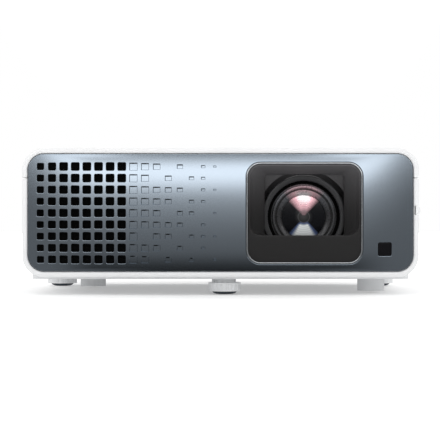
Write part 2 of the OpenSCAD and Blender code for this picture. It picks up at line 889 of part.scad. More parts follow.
module fold_mirrors() {
  foot_base = engine_z + engine_wall;
  color(metal) for (m = [[light_y, 45], [prism_y, -45]])
    translate([mirror_x, m[0], foot_base]) rotate([0, 0, m[1]]) union() {
      translate([1, -11, 0]) cube([1.6, 22, light_z - foot_base + 11]);
      translate([1, -7, 0]) cube([7, 14, 3]);
    }
}

module relay_lenses() {
  foot_base = engine_z + engine_wall;
  color([0.7, 0.8, 0.85]) {
    translate([mirror_x, (light_y + prism_y)/2, light_z]) rotate([90, 0, 0]) lens(10, 5, 1.4);
    translate([lens_x - 23, prism_y, light_z]) rotate([0, 90, 0]) lens(10, 5, 1.4);
  }
  color(dark) {
    translate([mirror_x, (light_y + prism_y)/2, 0]) lens_stand(foot_base);
    translate([lens_x - 23, prism_y, 0]) rotate([0, 0, 90]) lens_stand(foot_base);
  }
}

// holder with a round hole for a relay lens, facing Y
module lens_stand(z0) {
  difference() {
    box([-13, -1.5, z0], [13, 1.5, light_z + 8]);
    rod_y(-5, 5, 0, light_z, 10 + run_fit);
  }
}

module light_tunnel() {
  x0 = wheel_x1 - 1.5;
  x1 = engine_x0 + 6;
  bore = tunnel_half - 1.5;
  color(metal) difference() {
    box([x0, light_y - tunnel_half, light_z - tunnel_half],
        [x1, light_y + tunnel_half, light_z + tunnel_half]);
    box([x0 - 1, light_y - bore, light_z - bore], [x1 + 1, light_y + bore, light_z + bore]);
  }
}

module imaging_board() {
  y = engine_y + engine_d;
  color(board_green) union() {
    box([lens_x - 30, y, lens_z - 24], [lens_x + 30, y + board_t, lens_z + 24]);
    box([lens_x - 12, y - 2, lens_z - 8], [lens_x + 12, y + 1, lens_z + 8]);
  }
}

module imaging_heatsink() {
  y = engine_y + engine_d + board_t;
  color(metal) union() {
    box([lens_x - 26, y, lens_z - 22], [lens_x + 26, y + 4, lens_z + 22]);
    for (i = [0:8])
      box([lens_x - 26 + i*6.3, y + 3, lens_z - 22], [lens_x - 24.4 + i*6.3, y + 19, lens_z + 22]);
  }
}

wheel_floor = wheel_z - wheel_r - 5;

module wheel_housing() {
  w = 2;
  y0 = light_y - 26;
  y1 = light_y + 26;
  z1 = light_z + 24;
  color([0.50, 0.51, 0.53]) union() {
    difference() {
      box([wheel_x0, y0, wheel_floor], [wheel_x1, y1, z1]);
      box([wheel_x0 + w, y0 + w, wheel_floor + w], [wheel_x1 - w, y1 - w, z1 - w]);
      box([wheel_x0 - 1, light_y - 20, light_z - 16], [wheel_x0 + w + 1, light_y + 20, light_z + 16]);
      box([wheel_x1 - w - 1, light_y - tunnel_hole, light_z - tunnel_hole],
          [wheel_x1 + 1, light_y + tunnel_hole, light_z + tunnel_hole]);
    }
    rod_x(wheel_x + 3.5, wheel_x1 - 1, light_y, wheel_z, 8);
    rod_x(wheel_x - 3, wheel_x + 4, light_y, wheel_z, 1.5);
  }
}

module phosphor_wheel() {
  color([0.85, 0.80, 0.45]) difference() {
    union() {
      rod_x(wheel_x - 0.8, wheel_x + 0.8, light_y, wheel_z, wheel_r);
      rod_x(wheel_x - 3.2, wheel_x + 3, light_y, wheel_z, 7.5);
    }
    rod_x(wheel_x - 4, wheel_x + 4, light_y, wheel_z, 1.5 + run_fit);
  }
}

module laser_bank() {
  can_pitch = 11;
  color([0.70, 0.60, 0.35]) union() {
    box([laser_x, light_y - 22, light_z - 16], [laser_x + 4, light_y + 22, light_z + 16]);
    for (i = [-1.5:1.5], j = [-0.5:0.5])
      rod_x(laser_x + 3, laser_x + 12, light_y + i*can_pitch, light_z + j*can_pitch, 4.4);
  }
}

module laser_heatsink() {
  pitch = (heatsink_h - 1.4)/(laser_fins - 1);
  x0 = max(heatsink_x - fin_len, -side_x + wall + 4);
  color(metal) union() {
    box([heatsink_x, heatsink_y0, heatsink_z],
        [laser_x, heatsink_y1, heatsink_z + heatsink_h]);
    for (i = [0:laser_fins - 1])
      box([x0, heatsink_y0, heatsink_z + i*pitch],
          [heatsink_x + 1, heatsink_y1, heatsink_z + i*pitch + 1.4]);
  }
}

// ---------- fans and speaker ----------

// fan frame about the origin, air along Z, its motor seat at the high end
module fan_frame(size, depth) {
  duct_r = size/2 - fan_rim;
  hub_r = hub_share*duct_r;
  difference() {
    linear_extrude(depth) rounded(size, size, 4);
    translate([0, 0, -1]) cylinder(r = duct_r, h = depth + 2);
    for (sx = [-1, 1], sy = [-1, 1])
      translate([sx*(size/2 - 4.5), sy*(size/2 - 4.5), -1]) cylinder(r = 2.1, h = depth + 2);
  }
  translate([0, 0, depth - 3]) cylinder(r = hub_r, h = 3);
  translate([0, 0, 4]) cylinder(r = 1.5, h = depth - 5, $fn = small_fn);
  for (a = [30, 150, 270])
    rotate([0, 0, a]) translate([hub_r - 1, -2, depth - 3]) cube([duct_r - hub_r + 1.5, 4, 3]);
}

module fan_rotor(size, depth) {
  duct_r = size/2 - fan_rim;
  hub_r = hub_share*duct_r;
  blades = 7;
  difference() {
    union() {
      translate([0, 0, 2]) cylinder(r = hub_r, h = depth - 5.5);
      intersection() {
        translate([0, 0, 2.5]) cylinder(r = duct_r - 1, h = depth - 7);
        for (i = [0:blades - 1])
          rotate([0, 0, i*360/blades]) translate([hub_r - 2, 0, depth/2 - 1])
            rotate([52, 0, 0]) translate([0, -far/8, -0.7]) cube([size, far/4, 1.4]);
      }
    }
    translate([0, 0, 1]) cylinder(r = 1.5 + run_fit, h = depth, $fn = small_fn);
  }
}

module exhaust_place() {
  translate([exhaust_x, exhaust_y, exhaust_z]) rotate([-90, 0, 0]) children();
}

module intake_place() {
  translate([intake_x1, intake_y, intake_z]) rotate([0, -90, 0]) children();
}

module exhaust_fan_frame() {
  color(dark) exhaust_place() fan_frame(exhaust_w, fan_t);
}

module exhaust_fan_rotor() {
  color(black) exhaust_place() fan_rotor(exhaust_w, fan_t);
}

module intake_fan_frame() {
  color(dark) intake_place() fan_frame(intake_w, fan_t);
}

module intake_fan_rotor() {
  color(black) intake_place() fan_rotor(intake_w, fan_t);
}

speaker_y = speaker_y0 + speaker_w/2;
speaker_z = speaker_z0 + speaker_h/2;
coil_r = 6;
coil_end = speaker_x1 - 14;

module speaker_frame() {
  w = 2;
  x0 = speaker_x1 - speaker_d;
  color(dark) union() {
    difference() {
      box([x0, speaker_y0, speaker_z0], [speaker_x1, speaker_y0 + speaker_w, speaker_z0 + speaker_h]);
      box([x0 + w, speaker_y0 + w, speaker_z0 + w],
          [speaker_x1 - w, speaker_y0 + speaker_w - w, speaker_z0 + speaker_h - w]);
      rod_x(speaker_x1 - 3, speaker_x1 + 1, speaker_y, speaker_z, cone_r + part_gap);
    }
    difference() {
      rod_x(x0 + 1, coil_end + 4, speaker_y, speaker_z, 13);
      rod_x(x0 + 6, coil_end + 5, speaker_y, speaker_z, coil_r + part_gap);
    }
  }
}

module speaker_cone() {
  t = 0.8;
  x1 = speaker_x1 - 1.2;
  color([0.2, 0.2, 0.2]) union() {
    difference() {
      translate([x1 - 7, speaker_y, speaker_z]) rotate([0, 90, 0])
        cylinder(r1 = coil_r, r2 = cone_r, h = 7);
      translate([x1 - 7 + t, speaker_y, speaker_z]) rotate([0, 90, 0])
        cylinder(r1 = coil_r - t, r2 = cone_r - t, h = 7);
    }
    rod_x(coil_end, x1 - 7 + t, speaker_y, speaker_z, coil_r);
  }
}

// ---------- boards, keys and lights ----------

module main_board() {
  color(board_green) union() {
    box([main_x0, main_y, main_z0], [main_x1, main_y + board_t, main_z1]);
    box([-45, main_y - 6, mid_z - 10], [-15, main_y + 1, mid_z + 20]);
    box([10, main_y - 2, mid_z - 6], [34, main_y + 1, mid_z + 18]);
    for (i = [0:3]) box([50 + i*12, main_y - 1.5, mid_z], [58 + i*12, main_y + 1, mid_z + 12]);
  }
}

module power_board() {
  top = power_z + board_t;
  color([0.35, 0.28, 0.12]) union() {
    box([power_x0, power_y0, power_z], [power_x1, main_y - 1, top]);
    for (i = [0:2]) rod_z(top - 0.5, top + 30, [power_x0 + 16 + i*18, power_y0 + 14], 8);
    box([power_x0 + 8, power_y0 + 34, top - 0.5], [power_x0 + 40, power_y0 + 60, top + 26]);
    box([power_x0 + 50, power_y0 + 30, top - 0.5], [power_x0 + 54, power_y0 + 64, top + 34]);
    rod_z(top - 0.5, top + 14, [power_x0 + 68, power_y0 + 46], 9);
  }
}

// x, y and radius of each key
key_spots = [
  [power_x, keys_y, power_r],
  [keys_x, keys_y + key_pitch, key_r],
  [keys_x, keys_y - key_pitch, key_r],
  [keys_x - key_pitch, keys_y, key_r],
  [keys_x + key_pitch, keys_y, key_r],
  [keys_x, keys_y, power_r]
];

module key(index) {
  k = key_spots[index];
  color(white) union() {
    rod_z(key_flange_z - 1, key_top, [k[0], k[1]], k[2]);
    rod_z(key_flange_z - 1.2, key_flange_z, [k[0], k[1]], k[2] + 1);
    rod_z(key_top - wall - key_len, key_flange_z, [k[0], k[1]], 1.5);
  }
}

module power_key() key(0);
module up_key() key(1);
module down_key() key(2);
module left_key() key(3);
module right_key() key(4);
module ok_key() key(5);

module keypad_board() {
  stem_z = key_top - wall - key_len;
  color(board_green) union() {
    box([power_x - 12, keys_y - 22, keypad_z], [keys_x + 28, keys_y + 22, keypad_z + board_t]);
    for (k = key_spots)
      box([k[0] - 2.5, k[1] - 2.5, keypad_z + 1], [k[0] + 2.5, k[1] + 2.5, stem_z - key_travel - 0.3]);
  }
}

function light_at(i) = [power_x + 16, keys_y - 8 + i*8];

module status_lights() {
  color([0.85, 0.9, 0.85]) for (i = [0:2]) union() {
    rod_z(keypad_z + board_t, top_z - 0.2, light_at(i), 1);
    rod_z(keypad_z + board_t, ceiling_z - part_gap, light_at(i), 1.8);
  }
}

// ---------- feet ----------

module foot_screw(at) {
  flutes = 18;
  z1 = foot_z + foot_ring_h;
  color([0.80, 0.81, 0.83]) difference() {
    union() {
      rod_z(foot_z, z1, at, foot_ring_r);
      rod_z(z1 - 1, z1 + collar_h, at, 7.5);
      rod_z(z1, foot_top - 2, at, screw_r);
    }
    rod_z(foot_z - 1, foot_z + 3, at, screw_r + run_fit);
    for (i = [0:flutes - 1])
      translate([at[0], at[1], foot_z + 1]) rotate([0, 0, i*360/flutes])
        translate([foot_ring_r + 0.7, 0, 0])
          cylinder(r = 1.3, h = foot_ring_h - 2, $fn = small_fn);
  }
}

module foot_pad(at) {
  color([0.10, 0.12, 0.15]) union() {
    translate([at[0], at[1], 0]) cylinder(r1 = 5.25, r2 = 9.75, h = foot_z);
    rod_z(foot_z - 1, foot_z + 2.7, at, screw_r);
  }
}

module front_foot_screw() foot_screw(front_foot);
module front_foot_pad() foot_pad(front_foot);
module rear_left_foot_screw() foot_screw(rear_left_foot);
module rear_left_foot_pad() foot_pad(rear_left_foot);
module rear_right_foot_screw() foot_screw(rear_right_foot);
module rear_right_foot_pad() foot_pad(rear_right_foot);

// ---------- what is drawn ----------

top_cover();
bottom_case();
base_plate();
front_panel();
lens_bezel();
bezel_trim();
ir_window();
dust_filter();
rear_panel();
side_button();
lens_shroud();
focus_ring();
zoom_ring();
lens_barrel();
front_lens_cell();
front_lens_glass();
zoom_lens_cell();
zoom_lens_glass();
rear_lens_glass();
engine_housing();
engine_lid();
prism();
fold_mirrors();
relay_lenses();
light_tunnel();
imaging_board();
imaging_heatsink();
wheel_housing();
phosphor_wheel();
laser_bank();
laser_heatsink();
exhaust_fan_frame();
exhaust_fan_rotor();
intake_fan_frame();
intake_fan_rotor();
main_board();
power_board();
ac_inlet();
hdmi_ports();
usb_port();
audio_jack();
keypad_board();
receiver_board();
speaker_frame();
speaker_cone();
power_key();
up_key();
down_key();
left_key();
right_key();
ok_key();
status_lights();
front_foot_screw();
front_foot_pad();
rear_left_foot_screw();
rear_left_foot_pad();
rear_right_foot_screw();
rear_right_foot_pad();
mount_inserts();
case_screws();
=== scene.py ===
import json
import math

import bmesh
import bpy
import numpy as np
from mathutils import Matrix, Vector
from mathutils.geometry import delaunay_2d_cdt


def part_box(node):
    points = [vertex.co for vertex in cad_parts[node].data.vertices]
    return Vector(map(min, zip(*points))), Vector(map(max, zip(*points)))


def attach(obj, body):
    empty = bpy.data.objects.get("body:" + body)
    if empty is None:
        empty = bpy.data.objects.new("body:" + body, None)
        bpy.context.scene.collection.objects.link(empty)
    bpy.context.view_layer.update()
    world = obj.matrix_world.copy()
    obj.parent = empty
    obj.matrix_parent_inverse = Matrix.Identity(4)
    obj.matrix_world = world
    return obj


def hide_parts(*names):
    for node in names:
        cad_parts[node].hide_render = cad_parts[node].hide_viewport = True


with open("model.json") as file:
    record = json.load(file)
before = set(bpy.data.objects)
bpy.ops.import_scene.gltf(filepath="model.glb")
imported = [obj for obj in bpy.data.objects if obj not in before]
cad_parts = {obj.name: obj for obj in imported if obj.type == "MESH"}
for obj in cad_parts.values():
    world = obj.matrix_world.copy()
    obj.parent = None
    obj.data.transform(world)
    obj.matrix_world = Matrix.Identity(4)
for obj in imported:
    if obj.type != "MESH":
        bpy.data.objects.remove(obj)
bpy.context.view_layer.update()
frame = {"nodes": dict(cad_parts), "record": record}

MM = 0.001
NODES = frame["nodes"]

# ---------------------------------------------------------------- camera


def add_camera():
    data = bpy.data.cameras.new("camera")
    data.lens = 133.3
    data.sensor_width = 36
    data.clip_start = 0.01
    data.clip_end = 20
    camera = bpy.data.objects.new("camera", data)
    camera.location = (-0.0004, -1.3715, 0.0579)
    camera.rotation_euler = (math.pi / 2, 0, 0)
    bpy.context.scene.collection.objects.link(camera)
    bpy.context.scene.camera = camera


add_camera()

# ---------------------------------------------------------------- sizes, in mm


def corners(node):
    low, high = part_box(node)
    return low / MM, high / MM


def middle(node):
    low, high = corners(node)
    return (low + high) / 2


COVER_LOW, COVER_HIGH = corners("top_cover")
PANEL_LOW, PANEL_HIGH = corners("front_panel")
TRIM_LOW, TRIM_HIGH = corners("bezel_trim")
SIDE_X = COVER_HIGH.x
TOP_Z = COVER_HIGH.z
RIM_Y = COVER_LOW.y
REAR_Y = COVER_HIGH.y
SEAM_Z = COVER_LOW.z
CASE_Z = corners("bottom_case")[0].z
MID_Z = (TOP_Z + CASE_Z) / 2
FRONT_Y = PANEL_LOW.y
CORNER_R = 17
WALL = 2.5
SEAM_GAP = 0.8
PANEL_BACK_Y = FRONT_Y + 6
RIM_BACK_Y = RIM_Y + 12
PANEL_INSET = SIDE_X - PANEL_HIGH.x
PILLOW_R = 408.2
END_CURVE = 1.2
END_START = 95
CORNER_STEPS = 12


def pillow(x, z):
    """How far the panel's surface lies behind its foremost line, and its slope along x and z."""
    dz = z - MID_Z
    root = math.sqrt(PILLOW_R**2 - dz * dz)
    over = max(abs(x) - END_START, 0) / (PANEL_HIGH.x - END_START)
    slope = 2 * END_CURVE * over / (PANEL_HIGH.x - END_START) * math.copysign(1, x)
    return PILLOW_R - root + END_CURVE * over * over, slope, dz / root


# ---------------------------------------------------------------- outlines and meshes


def rounded(cx, cz, w, h, r, steps=8):
    """Points and outward normals around a rounded rectangle, anticlockwise seen from the front."""
    points = []
    for turn, (sx, sz) in enumerate([(1, 1), (-1, 1), (-1, -1), (1, -1)]):
        for i in range(steps + 1):
            a = math.pi / 2 * (turn + i / steps)
            nx, nz = math.cos(a), math.sin(a)
            points.append((cx + sx * (w / 2 - r) + r * nx, cz + sz * (h / 2 - r) + r * nz, nx, nz))
    return points


def grown(outline, by):
    """An outline moved outwards along its normals."""
    return [(x + nx * by, z + nz * by, nx, nz) for x, z, nx, nz in outline]


def widened(shape, by):
    """A rounded rectangle (cx, cz, w, h, r) made larger all around."""
    cx, cz, w, h, r = shape
    return (cx, cz, w + 2 * by, h + 2 * by, r + by)


def panel_y(x, z, depth=0):
    """Where the panel's bulged surface lies, or a surface at a depth behind it."""
    return FRONT_Y + pillow(x, z)[0] + depth


def on_panel(shape, depth, steps=CORNER_STEPS):
    """A rounded rectangle that follows the panel's bulge at a depth behind it."""
    return [(x, panel_y(x, z, depth), z) for x, z, _, _ in rounded(*shape, steps=steps)]


def at_depth(shape, y, steps=CORNER_STEPS):
    """A flat rounded rectangle at one place along y."""
    return [(x, y, z) for x, z, _, _ in rounded(*shape, steps=steps)]


def finish_mesh(bm, name, body, material, angle=35, replaced=()):
    """Turns a bmesh in mm into a piece that rides a body, smooth except at sharp edges."""
    bmesh.ops.scale(bm, vec=(MM, MM, MM), verts=bm.verts)
    bmesh.ops.recalc_face_normals(bm, faces=bm.faces)
    for face in bm.faces:
        face.smooth = True
    for edge in bm.edges:
        edge.smooth = len(edge.link_faces) != 2 or edge.calc_face_angle() < math.radians(angle)
    mesh = bpy.data.meshes.new(name)
    bm.to_mesh(mesh)
    bm.free()
    return add_piece(mesh, name, body, material, replaced)


def add_piece(mesh, name, body, material, replaced=()):
    """Puts a mesh into the scene with one material, riding a body and standing in for CAD nodes."""
    piece = bpy.data.objects.new(name, mesh)
    bpy.context.scene.collection.objects.link(piece)
    mesh.materials.clear()
    mesh.materials.append(material)
    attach(piece, body)
    if replaced:
        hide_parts(*replaced)
    return piece


def bridge(bm, a, b):
    """Joins two closed rings of vertices with quads."""
    for i in range(len(a)):
        j = (i + 1) % len(a)
        bm.faces.new((a[i], a[j], b[j], b[i]))


def add_rings(bm, rings, closed_path=False):
    """Joins rings of 3-D points with quads. Returns the rings' vertices."""
    made = [[bm.verts.new(p) for p in ring] for ring in rings]
    for a, b in zip(made, made[1:]):
        bridge(bm, a, b)
    if closed_path:
        bridge(bm, made[-1], made[0])
    return made


def lathe(bm, profile, centre, steps, axis="y", shut=True):
    """Revolves (radius, height) points around an axis through centre. A radius of 0 is a pole."""
    def at(r, h, a):
        c, s = r * math.cos(a), r * math.sin(a)
        if axis == "y":
            return (centre[0] + c, h, centre[1] + s)
        return (centre[0] + c, centre[1] + s, h)
    rows = []
    for r, h in profile:
        turns = [2 * math.pi * i / steps for i in range(steps)] if r else [0]
        rows.append([bm.verts.new(at(r, h, a)) for a in turns])
    pairs = list(zip(rows, rows[1:]))
    if shut:
        pairs.append((rows[-1], rows[0]))
    for a, b in pairs:
        if len(a) == len(b):
            bridge(bm, a, b)
            continue
        for i in range(steps):
            j = (i + 1) % steps
            bm.faces.new((a[0], b[j], b[i]) if len(a) == 1 else (a[i], a[j], b[0]))


def arc(cx, cy, r, start, end, steps=5):
    """Points on an arc in a profile's plane, angles in degrees."""
    turns = [math.radians(start + (end - start) * i / steps) for i in range(steps + 1)]
    return [(cx + r * math.cos(t), cy + r * math.sin(t)) for t in turns]


def inside(shape, x, z):
    """Which points lie within a rounded rectangle given as (cx, cz, w, h, r)."""
    cx, cz, w, h, r = shape
    dx = np.maximum(np.abs(x - cx) - (w / 2 - r), 0)
    dz = np.maximum(np.abs(z - cz) - (h / 2 - r), 0)
    return (dx * dx + dz * dz < r * r) & (np.abs(x - cx) < w / 2) & (np.abs(z - cz) < h / 2)


def triangulate(shapes, step):
    """Triangles over the first shape, split along every other one. Returns points, triangles,
    the shape each triangle lies in, and each shape's loop as point numbers."""
    points, edges, loops = [], [], []
    for shape, corner_steps in shapes:
        loop = [(p[0], p[1]) for p in rounded(*shape, steps=corner_steps)]
        loops.append(range(len(points), len(points) + len(loop)))
        first = len(points)
        points += loop
        edges += [(first + i, first + (i + 1) % len(loop)) for i in range(len(loop))]
    cx, cz, w, h, r = shapes[0][0]
    xs = np.arange(cx - w / 2 + step / 2, cx + w / 2, step)
    zs = np.arange(cz - h / 2 + step / 2, cz + h / 2, step)
    gx, gz = (g.ravel() for g in np.meshgrid(xs, zs))
    free = inside((cx, cz, w - step * 0.6, h - step * 0.6, r), gx, gz)
    for shape, _ in shapes[1:]:
        sx, sz, sw, sh, sr = shape
        free &= ~inside((sx, sz, sw + step * 0.5, sh + step * 0.5, sr), gx, gz)
    points += list(zip(gx[free], gz[free]))
    flat, _, faces, origins, _, _ = delaunay_2d_cdt([Vector(p) for p in points], edges, [], 0, 1e-5)
    place = {}
    for new, olds in enumerate(origins):
        for old in olds:
            place[old] = new
    centres = np.array([[sum(flat[i][k] for i in f) / 3 for k in range(2)] for f in faces])
    owner = np.full(len(faces), -1)
    for number, (shape, _) in enumerate(shapes):
        owner[inside(shape, centres[:, 0], centres[:, 1])] = number
    return flat, faces, owner, [[place[i] for i in loop] for loop in loops]


# ---------------------------------------------------------------- materials


class Nodes:
    """A short way to add and join shader nodes."""

    def __init__(self, tree):
        self.tree = tree

    def add(self, kind, **values):
        node = self.tree.nodes.new(kind)
        for key, value in values.items():
            setattr(node, key, value)
        return node

    def feed(self, value, target):
        """Joins a socket to a target, or sets the target to a plain value."""
        if isinstance(value, (int, float, tuple)):
            target.default_value = value
        else:
            self.tree.links.new(value, target)

    def math(self, operation, a, b=0):
        node = self.add("ShaderNodeMath", operation=operation)
        self.feed(a, node.inputs[0])
        self.feed(b, node.inputs[1])
        return node.outputs[0]

    def times(self, a, b):
        return self.math("MULTIPLY", a, b)

    def vector_math(self, operation, a, b=(0, 0, 0)):
        """A vector, or a number for the operations that measure."""
        node = self.add("ShaderNodeVectorMath", operation=operation)
        self.feed(a, node.inputs[0])
        self.feed(b, node.inputs[1])
        return node.outputs["Value" if operation in ("LENGTH", "DOT_PRODUCT") else "Vector"]

    def axes(self, vector):
        split = self.add("ShaderNodeSeparateXYZ")
        self.feed(vector, split.inputs[0])
        return split.outputs


class Graph(Nodes):
    """The nodes of a new material."""

    def __init__(self, name):
        self.material = bpy.data.materials.new(name)
        self.material.use_nodes = True
        super().__init__(self.material.node_tree)
        self.shader = self.tree.nodes["Principled BSDF"]
        self.where = self.add("ShaderNodeTexCoord").outputs["Object"]

    def give(self, **values):
        """Sets or joins the shader's inputs, named with _ for a space."""
        for key, value in values.items():
            self.feed(value, self.shader.inputs[key.replace("_", " ")])

    def noise(self, scale, detail=3, rough=0.5, stretch=(1, 1, 1)):
        """A noise value; scale is in features per metre."""
        place = self.add("ShaderNodeMapping")
        self.feed(stretch, place.inputs["Scale"])
        self.feed(self.where, place.inputs["Vector"])
        node = self.add("ShaderNodeTexNoise")
        self.feed(scale, node.inputs["Scale"])
        self.feed(detail, node.inputs["Detail"])
        self.feed(rough, node.inputs["Roughness"])
        self.feed(place.outputs[0], node.inputs["Vector"])
        return node.outputs["Fac"]

    def cells(self, scale, **values):
        """Distance to the nearest point of a cell pattern."""
        node = self.add("ShaderNodeTexVoronoi", **values)
        self.feed(scale, node.inputs["Scale"])
        self.feed(self.where, node.inputs["Vector"])
        return node.outputs["Distance"]

    def spread(self, value, low, high, start=0.3, end=0.7):
        """Maps a value onto a range."""
        node = self.add("ShaderNodeMapRange")
        self.feed(start, node.inputs["From Min"])
        self.feed(end, node.inputs["From Max"])
        self.feed(low, node.inputs["To Min"])
        self.feed(high, node.inputs["To Max"])
        self.feed(value, node.inputs["Value"])
        return node.outputs[0]

    def blend(self, amount, a, b):
        """Mixes two colours, each a tuple or a socket."""
        node = self.add("ShaderNodeMix", data_type="RGBA")
        for value, target in ((a, node.inputs[6]), (b, node.inputs[7])):
            self.feed((*value, 1) if isinstance(value, tuple) else value, target)
        self.feed(amount, node.inputs[0])
        return node.outputs[2]

    def edges(self, radius):
        """1 along edges and 0 on flat faces, broken up by noise."""
        bevel = self.add("ShaderNodeBevel", samples=4)
        self.feed(radius * MM, bevel.inputs["Radius"])
        facing = self.add("ShaderNodeNewGeometry").outputs["Normal"]
        mask = self.spread(self.vector_math("DOT_PRODUCT", bevel.outputs[0], facing), 1, 0, 0.8, 0.99)
        return self.times(mask, self.spread(self.noise(900), 0.2, 1))

    def bump(self, height, strength, depth):
        node = self.add("ShaderNodeBump")
        self.feed(strength, node.inputs["Strength"])
        self.feed(depth * MM, node.inputs["Distance"])
        self.feed(height, node.inputs["Height"])
        self.give(Normal=node.outputs[0])


def mixed(colour, other, share):
    """A colour moved a share of the way to another."""
    return tuple(a + (b - a) * share for a, b in zip(colour, other))


def surface(name, colour, rough, metallic=0.0, grain=1500, depth=0.02, strength=0.3, vary=0.06,
            wear=0.25, worn=(0.8, 0.8, 0.8), stretch=(1, 1, 1), **direct):
    """A moulded, painted or machined finish: mottled colour, uneven gloss, fine grain and worn edges."""
    g = Graph(name)
    darker = mixed(colour, (0, 0, 0), vary)
    lighter = tuple(min(c * (1 + vary), 1) for c in colour)
    base = g.blend(g.spread(g.noise(35), 0, 1), darker, lighter)
    if wear:
        edge = g.times(g.edges(0.4), wear)
        base = g.blend(edge, base, worn)
    uneven = g.spread(g.noise(220, stretch=stretch), rough * 0.88, min(rough * 1.12, 1))
    g.give(Base_Color=base, Roughness=uneven, Metallic=metallic, **direct)
    g.bump(g.noise(grain, 4, 0.6, stretch), strength, depth)
    return g.material


def painted_metal():
    """The panel's satin metallic paint: fine flakes under a soft sheen, with its rounded edges painted dark
    as painted shade.
    """
    g = Graph("panel_paint")
    flakes = g.spread(g.noise(5200, 2, 0.7), 0, 1, 0.35, 0.65)
    cloud = g.spread(g.noise(18), 0, 1)
    base = g.blend(flakes, (0.228, 0.264, 0.303), (0.278, 0.319, 0.363))
    base = g.blend(g.times(cloud, 0.3), base, (0.243, 0.282, 0.325))
    # painted shade: the rounded edges are darkened, standing in for the dark gap line around the panel
    base = g.blend(g.times(g.edges(0.5), 0.9), base, (0.10, 0.115, 0.13))
    g.give(Base_Color=base, Roughness=g.spread(flakes, 0.09, 0.14, 0, 1), Metallic=1)
    g.bump(g.noise(4200, 2, 0.6), 0.06, 0.01)
    return g.material


def around_lens(g):
    """Distance from the lens axis, depth behind the front cell, and how far a point lies above the axis
    as the cosine of its angle."""
    front = corners("front_lens_cell")[0].y
    lens = middle("front_lens_glass")
    offset = g.vector_math("SUBTRACT", g.where, (lens.x * MM, front * MM, lens.z * MM))
    flat = g.vector_math("MULTIPLY", offset, (1, 0, 1))
    up = g.axes(g.vector_math("NORMALIZE", flat))["Z"]
    return g.vector_math("LENGTH", flat), g.axes(offset)["Y"], up


def turned(g, radius, pitch, low):
    """Fine concentric rings, from a low level to 1."""
    wave = g.math("SINE", g.times(radius, 2 * math.pi / (pitch * MM)))
    return g.spread(wave, low, 1, -1, 1)


def painted_reflection(g, radius, up):
    """A painted reflection above the axis: rose, with a painted white highlight around the glass's upper
    edge.
    """
    # painted highlight: a white spot near the glass's upper edge
    painted_hotspot = g.times(g.spread(radius, 0, 1, 0.009, 0.0145), g.spread(radius, 1, 0, 0.0175, 0.0215))
    painted_hotspot = g.times(painted_hotspot, g.spread(up, 0, 1, 0.92, 0.99))
    return g.blend(painted_hotspot, (0.86, 0.50, 0.55), (1.0, 0.96, 0.97))


def coated_glass():
    """The front lens: fine turned rings, and painted reflections in its colour, rose above the axis and
    blue-white below.
    """
    g = Graph("coated_glass")
    radius, _, up = around_lens(g)
    rings = turned(g, radius, 1.7, 0.85)
    # painted reflection: a rose wedge above the axis and a blue-white wedge below, laid into the base colour
    above = g.times(g.spread(up, 0, 1, 0.70, 0.94), g.spread(radius, 0.25, 1, 0.0045, 0.009))
    above = g.times(above, g.spread(radius, 0, 1, 0.001, 0.002))
    below = g.times(g.spread(up, 0, 1, -0.72, -0.92), g.spread(radius, 0, 1, 0.004, 0.007))
    dark = g.blend(g.spread(radius, 0, 1, 0.0005, 0.007), (0.045, 0.045, 0.045), (0.003, 0.0035, 0.005))
    core = g.times(g.spread(radius, 0, 1, 0.0040, 0.0044), g.spread(radius, 1, 0, 0.0044, 0.0050))
    base = g.blend(g.times(core, 0.12), dark, (0.5, 0.5, 0.52))
    base = g.blend(g.times(above, rings), base, painted_reflection(g, radius, up))
    blue = g.blend(g.spread(below, 0, 1, 0.45, 0.85), (0.20, 0.28, 0.55), (0.96, 1.0, 1.0))
    base = g.blend(g.times(below, rings), base, blue)
    tangent = g.add("ShaderNodeTangent", direction_type="RADIAL", axis="Y")
    g.give(Base_Color=base, Roughness=g.spread(g.noise(400), 0.2, 0.26), Metallic=g.times(above, 0.75),
           Anisotropic=0.8, Tangent=tangent.outputs[0], Specular_IOR_Level=0.12, Coat_Weight=0.1,
           Coat_Roughness=0.03)
    return g.material


def lens_metal():
    """Black anodised aluminium, turned: a dark groove, painted shade near black where it is deep or far out,
    its upper half painted lighter as painted light, and a little of the painted rose reflection above the
    axis."""
    g = Graph("lens_metal")
    radius, depth, up = around_lens(g)
    rings = turned(g, radius, 0.6, 0.4)
    base = g.blend(rings, (0.03, 0.03, 0.032), (0.05, 0.05, 0.053))
    # painted light: the upper half of the turned rings is painted lighter grey
    base = g.blend(g.times(g.spread(up, 0, 1, 0.2, 0.8), 0.7), base, (0.15, 0.155, 0.17))
    # painted reflection: the rose wedge above the axis carries onto the cell's rings
    light = g.times(g.spread(up, 0, 1, 0.74, 0.93), g.spread(radius, 1, 0, 0.0205, 0.0265))
    base = g.blend(g.times(light, rings), base, painted_reflection(g, radius, up))
    groove = g.times(g.spread(radius, 0, 1, 0.0207, 0.0211), g.spread(radius, 1, 0, 0.0222, 0.0225))
    base = g.blend(g.times(groove, 0.9), base, (0.006, 0.006, 0.006))
    # painted shade: near black, with no reflection, where the cell lies deep or beyond its outer lip
    painted_deep_shade = g.math("MAXIMUM", g.spread(depth, 0, 1, 0.003, 0.006), g.spread(radius, 0, 1, 0.0251, 0.0257))
    base = g.blend(painted_deep_shade, base, (0.002, 0.002, 0.002))
    g.give(Base_Color=base, Roughness=g.spread(g.noise(500), 0.24, 0.34),
           Metallic=g.spread(painted_deep_shade, 0.6, 1, 0, 1))
    g.bump(rings, 0.04, 0.01)
    return g.material


def open_foam():
    """Black filter foam with open pores."""
    g = Graph("filter_foam")
    pores = g.cells(900)
    base = g.blend(g.spread(pores, 0, 1, 0, 0.5), (0.0005, 0.0005, 0.0005), (0.004, 0.004, 0.004))
    g.give(Base_Color=base, Roughness=g.spread(g.noise(300), 0.9, 1), Specular_IOR_Level=0.1)
    g.bump(pores, 0.8, 0.4)
    return g.material


